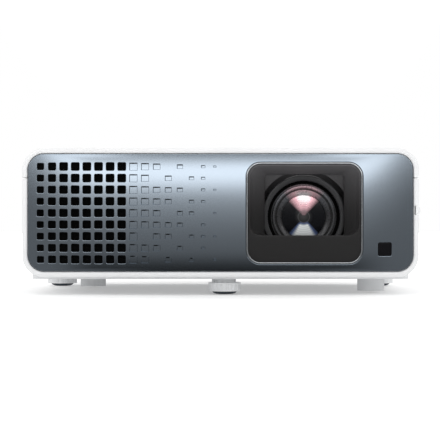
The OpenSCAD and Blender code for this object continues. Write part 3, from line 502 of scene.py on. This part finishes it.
def bezel_finish():
    """Satin black plastic, painted a little greyer towards the top of the funnel as painted light."""
    g = Graph("bezel_black")
    # painted light: the funnel's upper band is made lighter by colour that rises with height
    height = g.spread(g.axes(g.where)["Z"], 0, 1, 0.055, 0.1)
    base = g.blend(g.noise(35), (0.014, 0.0135, 0.0135), (0.017, 0.0165, 0.017))
    base = g.blend(g.times(height, height), base, (0.085, 0.083, 0.087))
    base = g.blend(g.times(g.edges(0.4), 0.12), base, (0.2, 0.2, 0.21))
    g.give(Base_Color=base, Roughness=g.spread(g.noise(220), 0.4, 0.5), Specular_IOR_Level=0.22)
    g.bump(g.noise(3200, 4, 0.6), 0.3, 0.012)
    return g.material


def clear_glass():
    """Lens glass with a faint tint."""
    g = Graph("clear_glass")
    base = g.blend(g.spread(g.noise(40), 0, 1), (0.86, 0.93, 0.95), (0.92, 0.96, 0.98))
    g.give(Base_Color=base, Roughness=g.spread(g.noise(500), 0.02, 0.06), Transmission_Weight=0.9, IOR=1.5)
    g.bump(g.noise(700), 0.02, 0.01)
    return g.material


def circuit_board(name, colour, track):
    """Solder mask with tracks and pads showing through."""
    g = Graph(name)
    lines = g.spread(g.cells(260, distance="MANHATTAN", feature="F1"), 1, 0, 0.55, 0.62)
    base = g.blend(g.spread(g.noise(60), 0, 1), mixed(colour, (0, 0, 0), 0.15), colour)
    base = g.blend(g.times(lines, 0.6), base, track)
    base = g.blend(g.times(g.edges(0.3), 0.4), base, mixed(colour, (0.7, 0.65, 0.4), 0.4))
    g.give(Base_Color=base, Roughness=g.spread(g.noise(400), 0.3, 0.45))
    g.bump(lines, 0.3, 0.05)
    return g.material


WHITE = surface("case_white", (0.80, 0.805, 0.81), 0.42, grain=2600, depth=0.012, vary=0.02, wear=0.1,
                worn=(0.9, 0.9, 0.9))
PAINT = painted_metal()
BLACK = bezel_finish()
BRIGHT = surface("trim_bright", (0.42, 0.44, 0.46), 0.22, 1.0, grain=900, depth=0.004, vary=0.04, wear=0.1)
GLOSS = surface("window_black", (0.006, 0.006, 0.007), 0.08, grain=500, depth=0.004, strength=0.1,
                vary=0.1, wear=0.03, Specular_IOR_Level=0.06)
RUBBER = surface("foot_rubber", (0.035, 0.045, 0.06), 0.62, grain=1800, depth=0.05, vary=0.15, wear=0.2,
                 worn=(0.16, 0.17, 0.19))

MATERIALS = {
    "case_white": WHITE,
    "base_white": surface("base_white", (0.74, 0.75, 0.76), 0.5, grain=2200, depth=0.015, vary=0.03,
                          wear=0.1),
    "panel_blue": PAINT,
    "bezel_black": BLACK,
    "trim_bright": BRIGHT,
    "window_black": GLOSS,
    "filter_foam": open_foam(),
    "rear_grey": surface("rear_grey", (0.10, 0.105, 0.11), 0.55, grain=1300, depth=0.05, strength=0.5),
    "ring_black": surface("ring_black", (0.022, 0.022, 0.024), 0.36, grain=2400, vary=0.08, wear=0.3,
                          worn=(0.16, 0.16, 0.17), Specular_IOR_Level=0.4),
    "lens_metal": lens_metal(),
    "coated_glass": coated_glass(),
    "clear_glass": clear_glass(),
    "cast_metal": surface("cast_metal", (0.50, 0.51, 0.53), 0.5, 0.9, grain=700, depth=0.12, strength=0.6,
                          vary=0.12, wear=0.4),
    "mirror": surface("mirror", (0.92, 0.92, 0.94), 0.03, 1.0, grain=300, depth=0.001, strength=0.05,
                      vary=0.02),
    "lens_stand": surface("lens_stand", (0.06, 0.06, 0.065), 0.6, grain=1500),
    "fin_metal": surface("fin_metal", (0.72, 0.73, 0.75), 0.32, 1.0, grain=900, depth=0.03,
                         stretch=(0.1, 1, 1)),
    "phosphor": surface("phosphor", (0.78, 0.66, 0.18), 0.55, 0.1, grain=3000, depth=0.03, vary=0.12),
    "laser_brass": surface("laser_brass", (0.66, 0.52, 0.25), 0.3, 1.0, grain=1800, vary=0.1),
    "fan_black": surface("fan_black", (0.03, 0.03, 0.032), 0.45, grain=1600, vary=0.1, wear=0.2,
                         worn=(0.14, 0.14, 0.15)),
    "board_green": circuit_board("board_green", (0.02, 0.13, 0.07), (0.05, 0.25, 0.12)),
    "board_brown": circuit_board("board_brown", (0.30, 0.22, 0.09), (0.55, 0.45, 0.25)),
    "socket_black": surface("socket_black", (0.02, 0.02, 0.022), 0.4, grain=1600, vary=0.1,
                            worn=(0.15, 0.15, 0.15)),
    "socket_metal": surface("socket_metal", (0.70, 0.71, 0.73), 0.25, 1.0, grain=1200, stretch=(0.2, 1, 1)),
    "speaker_black": surface("speaker_black", (0.04, 0.04, 0.042), 0.6, grain=1100, depth=0.05),
    "light_pipe": surface("light_pipe", (0.80, 0.86, 0.80), 0.15, grain=800, depth=0.01,
                          Transmission_Weight=0.4),
    "foot_metal": surface("foot_metal", (0.86, 0.87, 0.88), 0.34, 0.1, grain=1500, depth=0.02, wear=0.4,
                          worn=(0.95, 0.95, 0.95)),
    "foot_rubber": RUBBER,
    "insert_brass": surface("insert_brass", (0.74, 0.56, 0.26), 0.28, 1.0, grain=1600, stretch=(1, 1, 0.2)),
    "screw_steel": surface("screw_steel", (0.55, 0.56, 0.58), 0.3, 1.0, grain=1500),
}

# ---------------------------------------------------------------- CAD nodes that stay


def ease_edges(node, width):
    """Rounds a CAD node's sharp edges with modifiers; its mesh stays as it is."""
    weld = node.modifiers.new("weld", "WELD")
    weld.merge_threshold = 1e-6
    bevel = node.modifiers.new("round", "BEVEL")
    bevel.width = width * MM
    bevel.segments = 2
    bevel.limit_method = "ANGLE"
    bevel.angle_limit = math.radians(40)
    bevel.use_clamp_overlap = True
    node.modifiers.new("normals", "WEIGHTED_NORMAL")


def dress_cad_nodes():
    finish = {sub["node"]: sub["material_slot"] for sub in frame["record"]["subparts"]}
    for name, node in NODES.items():
        material = MATERIALS[finish[name]]
        node.data.materials.clear()
        node.data.materials.append(material)
        ease_edges(node, 0.15)


dress_cad_nodes()

# ---------------------------------------------------------------- front panel


GRILLE_PITCH = 8.92
GRILLE_X = -SIDE_X + 14.3
GRILLE_Z = MID_Z - 0.4
HOLE_W = 6.2
FADE_DEPTH = 0.55
FADE_ROWS = ["11101011", "11010110", "11111011", "11110110", "11101101",
             "11111010", "10110111", "11101010", "11010101"]
PANEL_EDGE = 0.35
IR_X = SIDE_X - 26.5
IR_Z = CASE_Z + 21.6
TRIM_W = TRIM_HIGH.x - TRIM_LOW.x
TRIM_H = TRIM_HIGH.z - TRIM_LOW.z
BEZEL_X = (TRIM_HIGH.x + TRIM_LOW.x) / 2
BEZEL_Z = (TRIM_HIGH.z + TRIM_LOW.z) / 2


def grille_shapes():
    """The grille's through holes, then the shallow squares beside it."""
    holes, squares = [], []
    for row in range(9):
        z = GRILLE_Z + (4 - row) * GRILLE_PITCH
        for col in range(8):
            side = HOLE_W - (1.0 if col == 0 else 0.35 if col == 1 else 0)
            holes.append((GRILLE_X + col * GRILLE_PITCH, z, side, side, 0.9))
        for col in range(8):
            if FADE_ROWS[row][col] == "1":
                w = HOLE_W * (1 - 0.03 * col - 0.0085 * col * col)
                h = HOLE_W * (0.97 - 0.105 * col)
                squares.append((GRILLE_X + (8 + col) * GRILLE_PITCH, z, w, h, 0.25))
    return holes, squares


def pocket_floor(shape):
    """The floor of a shallow square, whose upper wall slopes more than the others."""
    cx, cz, w, h, r = shape
    top, left, rest = min(0.9, 0.3 * h), min(0.45, 0.14 * w), 0.22
    return (cx + (left - rest) / 2, cz - (top - rest) / 2, w - left - rest, h - top - rest, r * 0.6)


def round_rim(bm, rim, grow, steps, front, back):
    """Joins the panel's front and back around one rim, with a rounded front edge; grow is 1 around the
    panel and -1 in an opening."""
    rings = [front]
    for turn in (22.5, 45, 67.5, 90):
        out = -PANEL_EDGE * (1 - math.sin(math.radians(turn)))
        deep = PANEL_EDGE * (1 - math.cos(math.radians(turn)))
        rings.append([bm.verts.new(p) for p in on_panel(widened(rim, grow * out), deep, steps)])
    rings.append([bm.verts.new(p) for p in at_depth(rim, PANEL_BACK_Y - PANEL_EDGE, steps)])
    rings.append(back)
    for a, b in zip(rings, rings[1:]):
        bridge(bm, a, b)


def follow_bulge(mesh, numbers):
    """Gives some faces the exact normals of the panel's bulge."""
    normals = [(0, 0, 0)] * len(mesh.loops)
    for number in numbers:
        for corner in mesh.polygons[number].loop_indices:
            x, _, z = mesh.vertices[mesh.loops[corner].vertex_index].co / MM
            _, across, up = pillow(x, z)
            normals[corner] = Vector((across, -1, up)).normalized()
    mesh.normals_split_custom_set(normals)


def panel_rims(holes):
    """The panel's outline, the grille's holes and the two large openings, each with its corner steps."""
    outline = (0, MID_Z, 2 * PANEL_HIGH.x, TOP_Z - CASE_Z - 2 * PANEL_INSET, CORNER_R - PANEL_INSET)
    trim_opening = (BEZEL_X, BEZEL_Z, TRIM_W + 0.4, TRIM_H + 0.4, 11.2)
    receiver_opening = (IR_X, IR_Z, 10.4, 10.4, 1.2)
    return [(outline, 12)] + [(hole, 4) for hole in holes] + [(trim_opening, 12), (receiver_opening, 4)]


def front_panel():
    """The bulged metal panel, with its pierced and debossed squares and softly rounded edges."""
    holes, squares = grille_shapes()
    rims = panel_rims(holes)
    shapes = [(widened(rim, PANEL_EDGE if number else -PANEL_EDGE), steps)
              for number, (rim, steps) in enumerate(rims)]
    shapes += [(square, 2) for square in squares]
    shapes += [(pocket_floor(square), 2) for square in squares]
    flat, faces, owner, loops = triangulate(shapes, 5.5)
    first_square = len(rims)
    first_floor = first_square + len(squares)
    bm = bmesh.new()
    made = {}

    def vertex(index, level):
        if (index, level) not in made:
            x, z = flat[index]
            y = PANEL_BACK_Y if level == "back" else panel_y(x, z, FADE_DEPTH if level == "pocket" else 0)
            made[index, level] = bm.verts.new((x, y, z))
        return made[index, level]

    def ring(loop, level):
        return [vertex(i, level) for i in loop]

    # a triangle's shape is 0 on the plain panel, then an opening, a square's walls or a square's floor
    caps = []
    for face, shape in zip(faces, owner):
        if 0 < shape < first_square:
            continue
        bm.faces.new(ring(reversed(face), "back"))
        if shape == 0 or shape >= first_floor:
            caps.append(len(bm.faces))
            bm.faces.new(ring(face, "pocket" if shape else "front"))
    for mouth, floor in zip(loops[first_square:first_floor], loops[first_floor:]):
        bridge(bm, ring(mouth, "front"), ring(floor, "pocket"))
    for number, (rim, steps) in enumerate(rims):
        front, back = ring(loops[number], "front"), ring(loops[number], "back")
        round_rim(bm, rim, -1 if number else 1, steps, front, back)
    piece = finish_mesh(bm, "front_panel_skin", "casing", PAINT, 25, ["front_panel"])
    follow_bulge(piece.data, caps)


front_panel()

# ---------------------------------------------------------------- bezel, trim and window


LENS = middle("front_lens_cell")
BLOCK_TOP = MID_Z - 17.6
WINDOW_W, WINDOW_H, WINDOW_DEPTH = 61.5, 47.3, 12
WINDOW_R = 2.3
BEZEL = (BEZEL_X, BEZEL_Z, TRIM_W - 3, TRIM_H - 3, 9.5)


def standing(w, h, r, cx=LENS.x):
    """A rounded rectangle that stands on the window's lower edge."""
    return (cx, BLOCK_TOP + h / 2, w, h, r)


def funnel_rings(mouth):
    """Rings from the funnel's soft mouth to the back of the window."""
    rings = [on_panel(widened(mouth, 0.3), 0.08), on_panel(widened(mouth, 0.05), 0.3),
             on_panel(widened(mouth, -0.1), 0.7)]
    back_y = FRONT_Y + WINDOW_DEPTH
    slope_y = FRONT_Y + 1.2
    for share in (0.25, 0.5, 0.75, 0.96):
        w = mouth[2] + (WINDOW_W - mouth[2]) * share
        h = mouth[3] + (WINDOW_H - mouth[3]) * share
        r = mouth[4] + (WINDOW_R - mouth[4]) * share
        cx = mouth[0] + (LENS.x - mouth[0]) * share
        rings.append(at_depth(standing(w, h, r, cx), slope_y + (back_y - slope_y) * share))
    window = standing(WINDOW_W, WINDOW_H, WINDOW_R)
    rings.append(at_depth(widened(window, 0.15), back_y - 0.1))
    rings.append(at_depth(window, back_y + 0.5))
    rings.append(at_depth(window, RIM_BACK_Y))
    return rings


def lens_bezel():
    """The black funnel around the lens, with the flush block below it."""
    edge = 0.5
    mouth = standing(TRIM_W - 6, 53.2, 8, BEZEL_X)
    outer, hole = widened(BEZEL, -edge), widened(mouth, 0.7)
    flat, faces, owner, loops = triangulate([(outer, CORNER_STEPS), (hole, CORNER_STEPS)], 4)
    bm = bmesh.new()
    front = [bm.verts.new((x, panel_y(x, z), z)) for x, z in flat]
    for face, shape in zip(faces, owner):
        if shape == 0:
            bm.faces.new([front[i] for i in face])
    rings = funnel_rings(mouth)
    for grow, y in ((0, RIM_BACK_Y), (0, PANEL_BACK_Y + 2), (3.7, PANEL_BACK_Y + 2), (4, PANEL_BACK_Y + 1.7),
                    (4, PANEL_BACK_Y), (0, PANEL_BACK_Y)):
        rings.append(at_depth(widened(BEZEL, grow), y))
    rings.append(on_panel(BEZEL, edge))
    rings.append(on_panel(widened(BEZEL, -0.15), 0.15))
    made = add_rings(bm, rings)
    for loop, ring in ((loops[1], made[0]), (loops[0], made[-1])):
        bridge(bm, [front[i] for i in loop], ring)
    loose = [v for v in bm.verts if not v.link_faces]
    bmesh.ops.delete(bm, geom=loose, context="VERTS")
    finish_mesh(bm, "lens_bezel_funnel", "casing", BLACK, 30, ["lens_bezel"])


def bezel_trim():
    """The thin bright ring, a rounded bead around the bezel."""
    bm = bmesh.new()
    rings = [at_depth(widened(BEZEL, 1.5), FRONT_Y + 4)]
    for grow, depth in ((1.5, 0.45), (1.42, 0.2), (1.2, 0.05), (0.8, 0), (0.4, 0.05), (0.18, 0.2),
                        (0.1, 0.45)):
        rings.append(on_panel(widened(BEZEL, grow), depth))
    rings.append(at_depth(widened(BEZEL, 0.1), FRONT_Y + 4))
    add_rings(bm, rings, closed_path=True)
    finish_mesh(bm, "bezel_trim_ring", "casing", BRIGHT, 50, ["bezel_trim"])


def ir_window():
    """The square window of the remote receiver, glossy, with a softly rounded edge."""
    bm = bmesh.new()
    shape = (IR_X, IR_Z, 10, 10, 1.2)
    steps = 6
    flange = widened(shape, 1.5)
    rings = [at_depth(flange, PANEL_BACK_Y + 1, steps), at_depth(flange, PANEL_BACK_Y, steps),
             at_depth(shape, PANEL_BACK_Y, steps)]
    for grow, depth in ((0, 0.8), (-0.1, 0.5), (-0.4, 0.32), (-1, 0.28), (-3, 0.26)):
        cx, cz, w, h, r = widened(shape, grow)
        rings.append(on_panel((cx, cz, w, h, max(r, 0.3)), depth, steps))
    made = add_rings(bm, rings)
    bm.faces.new(made[-1])
    bm.faces.new(list(reversed(made[0])))
    finish_mesh(bm, "receiver_window", "casing", GLOSS, 40, ["ir_window"])


lens_bezel()
bezel_trim()
ir_window()

# ---------------------------------------------------------------- case


RIM_W = PANEL_INSET - 0.5
BEAD = 1.9
SLOT_PITCH = 5
SLOT_W = 2.4


def case_section():
    """The sleeve's cross-section as (inset, y): a rounded rim, a ledge behind the panel, a wall."""
    section = [(0.6, REAR_Y), (0.18, REAR_Y - 0.18), (0, REAR_Y - 0.6)]
    section += [(0, REAR_Y - 80), (0, RIM_Y + 60), (0, RIM_Y + 12)]
    section += [(BEAD - BEAD * math.cos(t), RIM_Y + BEAD - BEAD * math.sin(t))
                for t in np.linspace(0, math.pi / 2, 8)]
    inner = RIM_W - BEAD
    section += [(inner + BEAD * math.sin(t), RIM_Y + BEAD - BEAD * math.cos(t))
                for t in np.linspace(0, math.pi / 2, 8)]
    section += [(RIM_W, PANEL_BACK_Y), (6.7, PANEL_BACK_Y), (6.7, RIM_BACK_Y), (WALL, RIM_BACK_Y),
                (WALL, RIM_BACK_Y + 60), (WALL, REAR_Y - 80), (WALL, REAR_Y - 0.4), (WALL - 0.4, REAR_Y)]
    return section


def case_path(upper):
    """The part of the case's outline above or below the seam, as (x, z, nx, nz)."""
    w, h, r = 2 * SIDE_X, TOP_Z - CASE_Z, CORNER_R
    ring = rounded(0, MID_Z, w, h, r, steps=14)
    if upper:
        body = [p for p in ring if p[1] > SEAM_Z + 1]
        body.sort(key=lambda p: math.atan2(p[1] - SEAM_Z, p[0]))
        return [(SIDE_X, SEAM_Z, 1, 0)] + body + [(-SIDE_X, SEAM_Z, -1, 0)]
    z = SEAM_Z - SEAM_GAP
    body = [p for p in ring if p[1] < MID_Z]
    body.sort(key=lambda p: math.atan2(p[1] - MID_Z, p[0]) % (2 * math.pi))
    return [(-SIDE_X, z, -1, 0)] + body + [(SIDE_X, z, 1, 0)]


def case_half(upper):
    """One half of the sleeve as a closed mesh, its ends at the seam capped."""
    bm = bmesh.new()
    section = case_section()
    rings = [[(x - nx * inset, y, z - nz * inset) for inset, y in section]
             for x, z, nx, nz in case_path(upper)]
    made = add_rings(bm, rings)
    bm.faces.new(list(reversed(made[0])))
    bm.faces.new(made[-1])
    return bm


def cutter(loop, levels, place):
    """A closed solid for cutting: a loop of (u, v) points with normals, grown at each (w, grow) level."""
    bm = bmesh.new()
    rings = [[place(u + nu * grow, v + nv * grow, w) for u, v, nu, nv in loop] for w, grow in levels]
    made = add_rings(bm, rings)
    bm.faces.new(list(reversed(made[0])))
    bm.faces.new(made[-1])
    bmesh.ops.recalc_face_normals(bm, faces=bm.faces)
    return bm


def opening(surface_w, inner_w, soft):
    """Levels for a cutter whose mouth rounds over at a surface."""
    out = 1 if surface_w > inner_w else -1
    levels = [(inner_w, 0)]
    for turn in (0, 30, 60, 90):
        t = math.radians(turn)
        levels.append((surface_w - out * soft * (1 - math.sin(t)), soft * (1 - math.cos(t))))
    levels.append((surface_w + out, soft + 0.4))
    return levels


def on_top(u, v, w):
    """Places a cutter's loop in the xy plane, its levels along z."""
    return (u, v, w)


def on_side(sign):
    """Places a cutter's loop in the yz plane, its levels outwards from the middle."""
    return lambda u, v, w: (sign * w, u, v)


def round_loop(cx, cy, r, steps=48):
    return [(cx + r * math.cos(a), cy + r * math.sin(a), math.cos(a), math.sin(a))
            for a in np.linspace(0, 2 * math.pi, steps, endpoint=False)]


def top_openings():
    """Cutters for the keys, the lights and the opening over the lens rings."""
    cuts = []
    for key in ("power_key", "up_key", "down_key", "left_key", "right_key", "ok_key"):
        at = middle(key)
        r = (corners(key)[1].x - corners(key)[0].x) / 2 - 1 + 0.3
        cuts.append(cutter(round_loop(at.x, at.y, r), opening(TOP_Z, TOP_Z - 5, 0.35), on_top))
    low, high = corners("status_lights")
    for y in (low.y + 1.8, (low.y + high.y) / 2, high.y - 1.8):
        loop = round_loop((low.x + high.x) / 2, y, 1.2, 24)
        cuts.append(cutter(loop, opening(TOP_Z, TOP_Z - 5, 0.2), on_top))
    focus, zoom = corners("focus_ring"), corners("zoom_ring")
    y0, y1 = focus[0].y + 1, zoom[1].y + 2
    loop = rounded(LENS.x, (y0 + y1) / 2, 48, y1 - y0, 4, steps=8)
    cuts.append(cutter(loop, opening(TOP_Z, TOP_Z - 5, 1.2), on_top))
    return cuts


def slots(count, first_y, z, height, sign):
    """Cutters for a row of upright vent slots in one side wall."""
    return [cutter(rounded(first_y + i * SLOT_PITCH, z, SLOT_W, height, 1.19, steps=4),
                   opening(SIDE_X, SIDE_X - 8, 0.3), on_side(sign)) for i in range(count)]


def bottom_openings():
    """Cutters for the vents, the side button and the base plate."""
    fan = middle("intake_fan_frame")
    speaker = corners("speaker_frame")[0]
    cuts = []
    for sign in (-1, 1):
        cuts += slots(13, fan.y - 28.8, MID_Z - 5, 38, sign)
    cuts += slots(7, speaker.y + 7.2, speaker.z + 27, 30, 1)
    button = corners("side_button")
    z = (button[0].z + button[1].z) / 2
    loop = rounded((RIM_Y - 2 + button[1].y + 0.3) / 2, z, button[1].y + 0.3 - RIM_Y + 2, 7.2, 0.4, steps=2)
    cuts.append(cutter(loop, [(SIDE_X - 3.5, 0), (SIDE_X + 2, 0)], on_side(1)))
    y0, y1 = RIM_Y + 12, REAR_Y - 12
    loop = rounded(0, (y0 + y1) / 2, 400, y1 - y0, 0.5, steps=2)
    floor_z = corners("base_plate")[1].z
    cuts.append(cutter(loop, [(-5, 0), (floor_z, 0)], on_top))
    return cuts


def temporary(bm, name):
    """An object that only stands in the scene for booleans."""
    mesh = bpy.data.meshes.new(name)
    bmesh.ops.recalc_face_normals(bm, faces=bm.faces)
    bm.to_mesh(mesh)
    bm.free()
    piece = bpy.data.objects.new(name, mesh)
    bpy.context.scene.collection.objects.link(piece)
    return piece


def combined(cuts):
    """Several cutters as one mesh."""
    whole = bmesh.new()
    for cut in cuts:
        mesh = bpy.data.meshes.new("part")
        cut.to_mesh(mesh)
        cut.free()
        whole.from_mesh(mesh)
        bpy.data.meshes.remove(mesh)
    return whole


def boolean(piece, tool, operation):
    """Applies one exact boolean and removes its tool."""
    step = piece.modifiers.new(operation, "BOOLEAN")
    step.operation = operation
    step.solver = "EXACT"
    step.use_self = operation == "DIFFERENCE"
    step.object = tool
    bpy.context.view_layer.update()
    graph = bpy.context.evaluated_depsgraph_get()
    mesh = bpy.data.meshes.new_from_object(piece.evaluated_get(graph))
    piece.modifiers.clear()
    old = piece.data
    piece.data = mesh
    bpy.data.meshes.remove(old)
    spent = tool.data
    bpy.data.objects.remove(tool)
    bpy.data.meshes.remove(spent)


def inner_solid(node):
    """What a CAD node has inside its wall: a copy of its mesh, in mm, cut to the room inside."""
    bm = bmesh.new()
    bm.from_mesh(NODES[node].data)
    bmesh.ops.scale(bm, vec=(1 / MM,) * 3, verts=bm.verts)
    bmesh.ops.remove_doubles(bm, verts=bm.verts, dist=0.001)
    copy = temporary(bm, "copy")
    r = WALL / 2
    loop = grown(rounded(0, MID_Z, 2 * SIDE_X, TOP_Z - CASE_Z, CORNER_R, steps=14), -r)
    room = cutter(loop, [(RIM_BACK_Y - 0.5, 0), (REAR_Y - 4.3, 0)], lambda u, v, w: (u, w, v))
    boolean(copy, temporary(room, "room"), "INTERSECT")
    return copy


def case_piece(upper, name, node, cuts):
    """One case half with its openings; the lower one keeps what the CAD case has inside."""
    piece = temporary(case_half(upper), name)
    if not upper:
        boolean(piece, inner_solid(node), "UNION")
    boolean(piece, temporary(combined(cuts), "cutters"), "DIFFERENCE")
    bm = bmesh.new()
    bm.from_mesh(piece.data)
    data = piece.data
    bpy.data.objects.remove(piece)
    bpy.data.meshes.remove(data)
    bmesh.ops.remove_doubles(bm, verts=bm.verts, dist=0.002)
    finish_mesh(bm, name, "casing", WHITE, 30, [node])


case_piece(True, "cover_half", "top_cover", top_openings())
case_piece(False, "case_half", "bottom_case", bottom_openings())

# ---------------------------------------------------------------- lens


FLUTES = 36
FLUTE_DEPTH = 0.35


def focus_ring():
    """The ring behind the window, its face rounded and its edge fluted for grip."""
    low, high = corners("focus_ring")
    r, bore = (high.x - low.x) / 2, 28.05
    y0, y1 = low.y, high.y
    bm = bmesh.new()
    profile = [(bore, y0 + 0.7)] + arc(bore + 0.7, y0 + 0.7, 0.7, 180, 270, 4)[1:]
    profile += arc(r - 1.1, y0 + 1.1, 1.1, 270, 360, 6)
    profile += [(r, y0 + 3.4), (r - 0.45, y0 + 4), (r - 0.45, y1 - 2), (r, y1 - 1.4)]
    profile += arc(r - 0.5, y1 - 0.5, 0.5, 0, 90, 3) + [(bore, y1)]
    lathe(bm, profile, (LENS.x, LENS.z), steps=144)
    for vertex in bm.verts:
        x, z = vertex.co.x - LENS.x, vertex.co.z - LENS.z
        if y0 + 3.5 < vertex.co.y < y1 - 1.6 and math.hypot(x, z) > r - 1:
            push = 1 + FLUTE_DEPTH / r * math.cos(FLUTES * math.atan2(z, x))
            vertex.co.x = LENS.x + x * push
            vertex.co.z = LENS.z + z * push
    finish_mesh(bm, "focus_grip_ring", "focus_ring", MATERIALS["ring_black"], 35,
                ["focus_ring"])


def front_cell():
    """The front lens cell: an outer lip, a groove, and a bevel that leads down to the glass."""
    low, high = corners("front_lens_cell")
    r, y0, y1 = (high.x - low.x) / 2, low.y, high.y
    bm = bmesh.new()
    profile = [(r, y1), (r, y0 + 0.7)] + arc(r - 0.7, y0 + 0.7, 0.7, 0, -90, 5)[1:]
    profile += arc(r - 1.7, y0 + 0.6, 0.6, -90, -180, 4)
    profile += [(r - 2.3, y0 + 1.6), (21.1, y0 + 1.6)]
    profile += arc(20.7, y0 + 0.9, 0.4, 0, -110, 4)
    profile += [(19.4, y0 + 0.85), (18.2, y0 + 1.45), (17.3, y0 + 2.15), (17.0, y0 + 2.5)]
    profile += [(17.0, y0 + 3.95), (18.05, y0 + 3.95), (18.05, y1)]
    lathe(bm, profile, (LENS.x, LENS.z), steps=128)
    finish_mesh(bm, "front_cell_turned", "front_lens_group", MATERIALS["lens_metal"], 35,
                ["front_lens_cell"])


def front_glass():
    """The domed front element."""
    low, high = corners("front_lens_glass")
    bm = bmesh.new()
    edge, dome = 16.85, 2.4
    ball = (edge * edge + dome * dome) / (2 * dome)
    y0 = low.y
    profile = [(0, y0)]
    for i in range(1, 25):
        r = edge * i / 24
        profile.append((r, y0 + ball - math.sqrt(ball * ball - r * r)))
    profile += [(edge, y0 + 3.3), (17.95, y0 + 3.3), (17.95, high.y), (0, high.y)]
    lathe(bm, profile, (LENS.x, LENS.z), steps=128, shut=False)
    finish_mesh(bm, "front_glass_dome", "front_lens_group", MATERIALS["coated_glass"], 35,
                ["front_lens_glass"])


focus_ring()
front_cell()
front_glass()

# ---------------------------------------------------------------- feet


def foot_pad(foot):
    """A domed rubber pad with a flat sole, on a short neck."""
    low, high = corners(foot + "_pad")
    at = middle(foot + "_pad")
    z = low.z
    bm = bmesh.new()
    profile = [(0, z), (4.6, z), (5.1, z + 0.12)]
    profile += [(5.25 + 4.5 * math.sin(t) ** 0.9, z + 2.3 - 2.15 * math.cos(t) ** 1.1)
                for t in np.linspace(0.12, math.pi / 2, 9)]
    profile += [(9.6, z + 2.3), (4, z + 2.3), (4, high.z - 0.3), (3.7, high.z), (0, high.z)]
    lathe(bm, profile, (at.x, at.y), axis="z", steps=64, shut=False)
    finish_mesh(bm, foot + "_pad_dome", foot + "_pad", RUBBER, 35, [foot + "_pad"])


for foot_name in ("front_foot", "rear_left_foot", "rear_right_foot"):
    foot_pad(foot_name)

# ---------------------------------------------------------------- stage and light


def add_floor():
    """A white floor that glows less near the middle, a painted shadow under the object, and grows lighter
    with distance, so that it meets the white backdrop unseen.
    """
    bpy.ops.mesh.primitive_plane_add(size=12, location=(0, 0, -0.0002))
    floor = bpy.context.object
    floor.name = "floor"
    g = Graph("floor_white")
    base = g.blend(g.noise(3), (0.78, 0.78, 0.78), (0.80, 0.80, 0.80))
    distance = g.vector_math("LENGTH", g.where)
    # painted shadow: weaker glow within 0.12 to 0.24 m of the middle darkens the floor under the object
    light = g.math("ADD", g.spread(distance, 0.21, 0.42, 0.12, 0.24), g.spread(distance, 0, 0.8, 0.4, 1.2))
    g.give(Base_Color=base, Roughness=0.9, Specular_IOR_Level=0, Emission_Color=(1, 1, 1, 1),
           Emission_Strength=light)
    floor.data.materials.append(g.material)
    floor.visible_glossy = False


def add_area(name, location, target, size, power):
    """A rectangular lamp aimed at a point."""
    data = bpy.data.lights.new(name, "AREA")
    data.shape = "RECTANGLE"
    data.size, data.size_y = size
    data.energy = power
    light = bpy.data.objects.new(name, data)
    light.location = location
    light.rotation_euler = (Vector(target) - Vector(location)).to_track_quat("-Z", "Y").to_euler()
    bpy.context.scene.collection.objects.link(light)


def ramp(g, value, stops, full):
    """Grey levels along a value from -0.5 to 0.5, as shares of a full level."""
    node = g.add("ShaderNodeValToRGB")
    elements = node.color_ramp.elements
    for position, _ in stops[1:-1]:
        elements.new(position + 0.5)
    elements[0].position, elements[-1].position = stops[0][0] + 0.5, stops[-1][0] + 0.5
    for element, (_, level) in zip(elements, stops):
        element.color = (level / full, level / full, level / full, 1)
    g.feed(g.math("ADD", value, 0.5), node.inputs[0])
    return g.times(node.outputs[0], full)


def add_world():
    """A white room for the camera, and for everything else a soft sky: a bright band above the horizon
    that rises towards both sides, a plain middle tone, and a dark ground in front."""
    world = bpy.data.worlds.new("studio")
    bpy.context.scene.world = world
    world.use_nodes = True
    g = Nodes(world.node_tree)
    direction = g.axes(g.add("ShaderNodeTexCoord").outputs["Generated"])
    height = direction["Z"]
    across = g.math("MAXIMUM", g.math("SUBTRACT", g.math("ABSOLUTE", direction["X"]), 0.072), 0)
    lift = g.math("MINIMUM", g.times(g.times(across, across), 14), 0.24)
    band = ramp(g, g.math("SUBTRACT", height, lift),
                [(-0.5, 0.30), (-0.16, 0.33), (-0.10, 0.40), (-0.05, 0.50), (0.0, 0.65), (0.055, 0.92),
                 (0.082, 1.2), (0.108, 1.75), (0.134, 2.6), (0.165, 3.3), (0.195, 3.5), (0.215, 2.9),
                 (0.236, 1.3), (0.255, 0.5), (0.34, 0.6), (0.5, 1.7)], 4)
    ground = ramp(g, height,
                  [(-0.5, 0.05), (-0.25, 0.06), (-0.225, 0.2), (-0.195, 0.6), (-0.17, 0.95), (0.5, 1)], 1)
    ground = g.math("MAXIMUM", ground, g.math("MINIMUM", g.times(across, 12), 1))
    soft = ramp(g, height, [(-0.5, 0.5), (-0.1, 0.6), (0.1, 0.74), (0.5, 0.86)], 1)
    path = g.add("ShaderNodeLightPath")
    diffuse = path.outputs["Is Diffuse Ray"]
    glossy = g.times(g.times(band, ground), g.math("SUBTRACT", 1, diffuse))
    sky = g.math("ADD", g.times(soft, diffuse), glossy)
    back = g.tree.nodes["Background"]
    g.feed(g.math("MAXIMUM", sky, path.outputs["Is Camera Ray"]), back.inputs["Strength"])
    g.feed((1, 1, 1, 1), back.inputs["Color"])


add_floor()
add_world()
add_area("key", (0.0, -0.35, 1.7), (0, 0, 0.05), (2.4, 1.6), 5)
bpy.context.scene.view_settings.view_transform = "Standard"
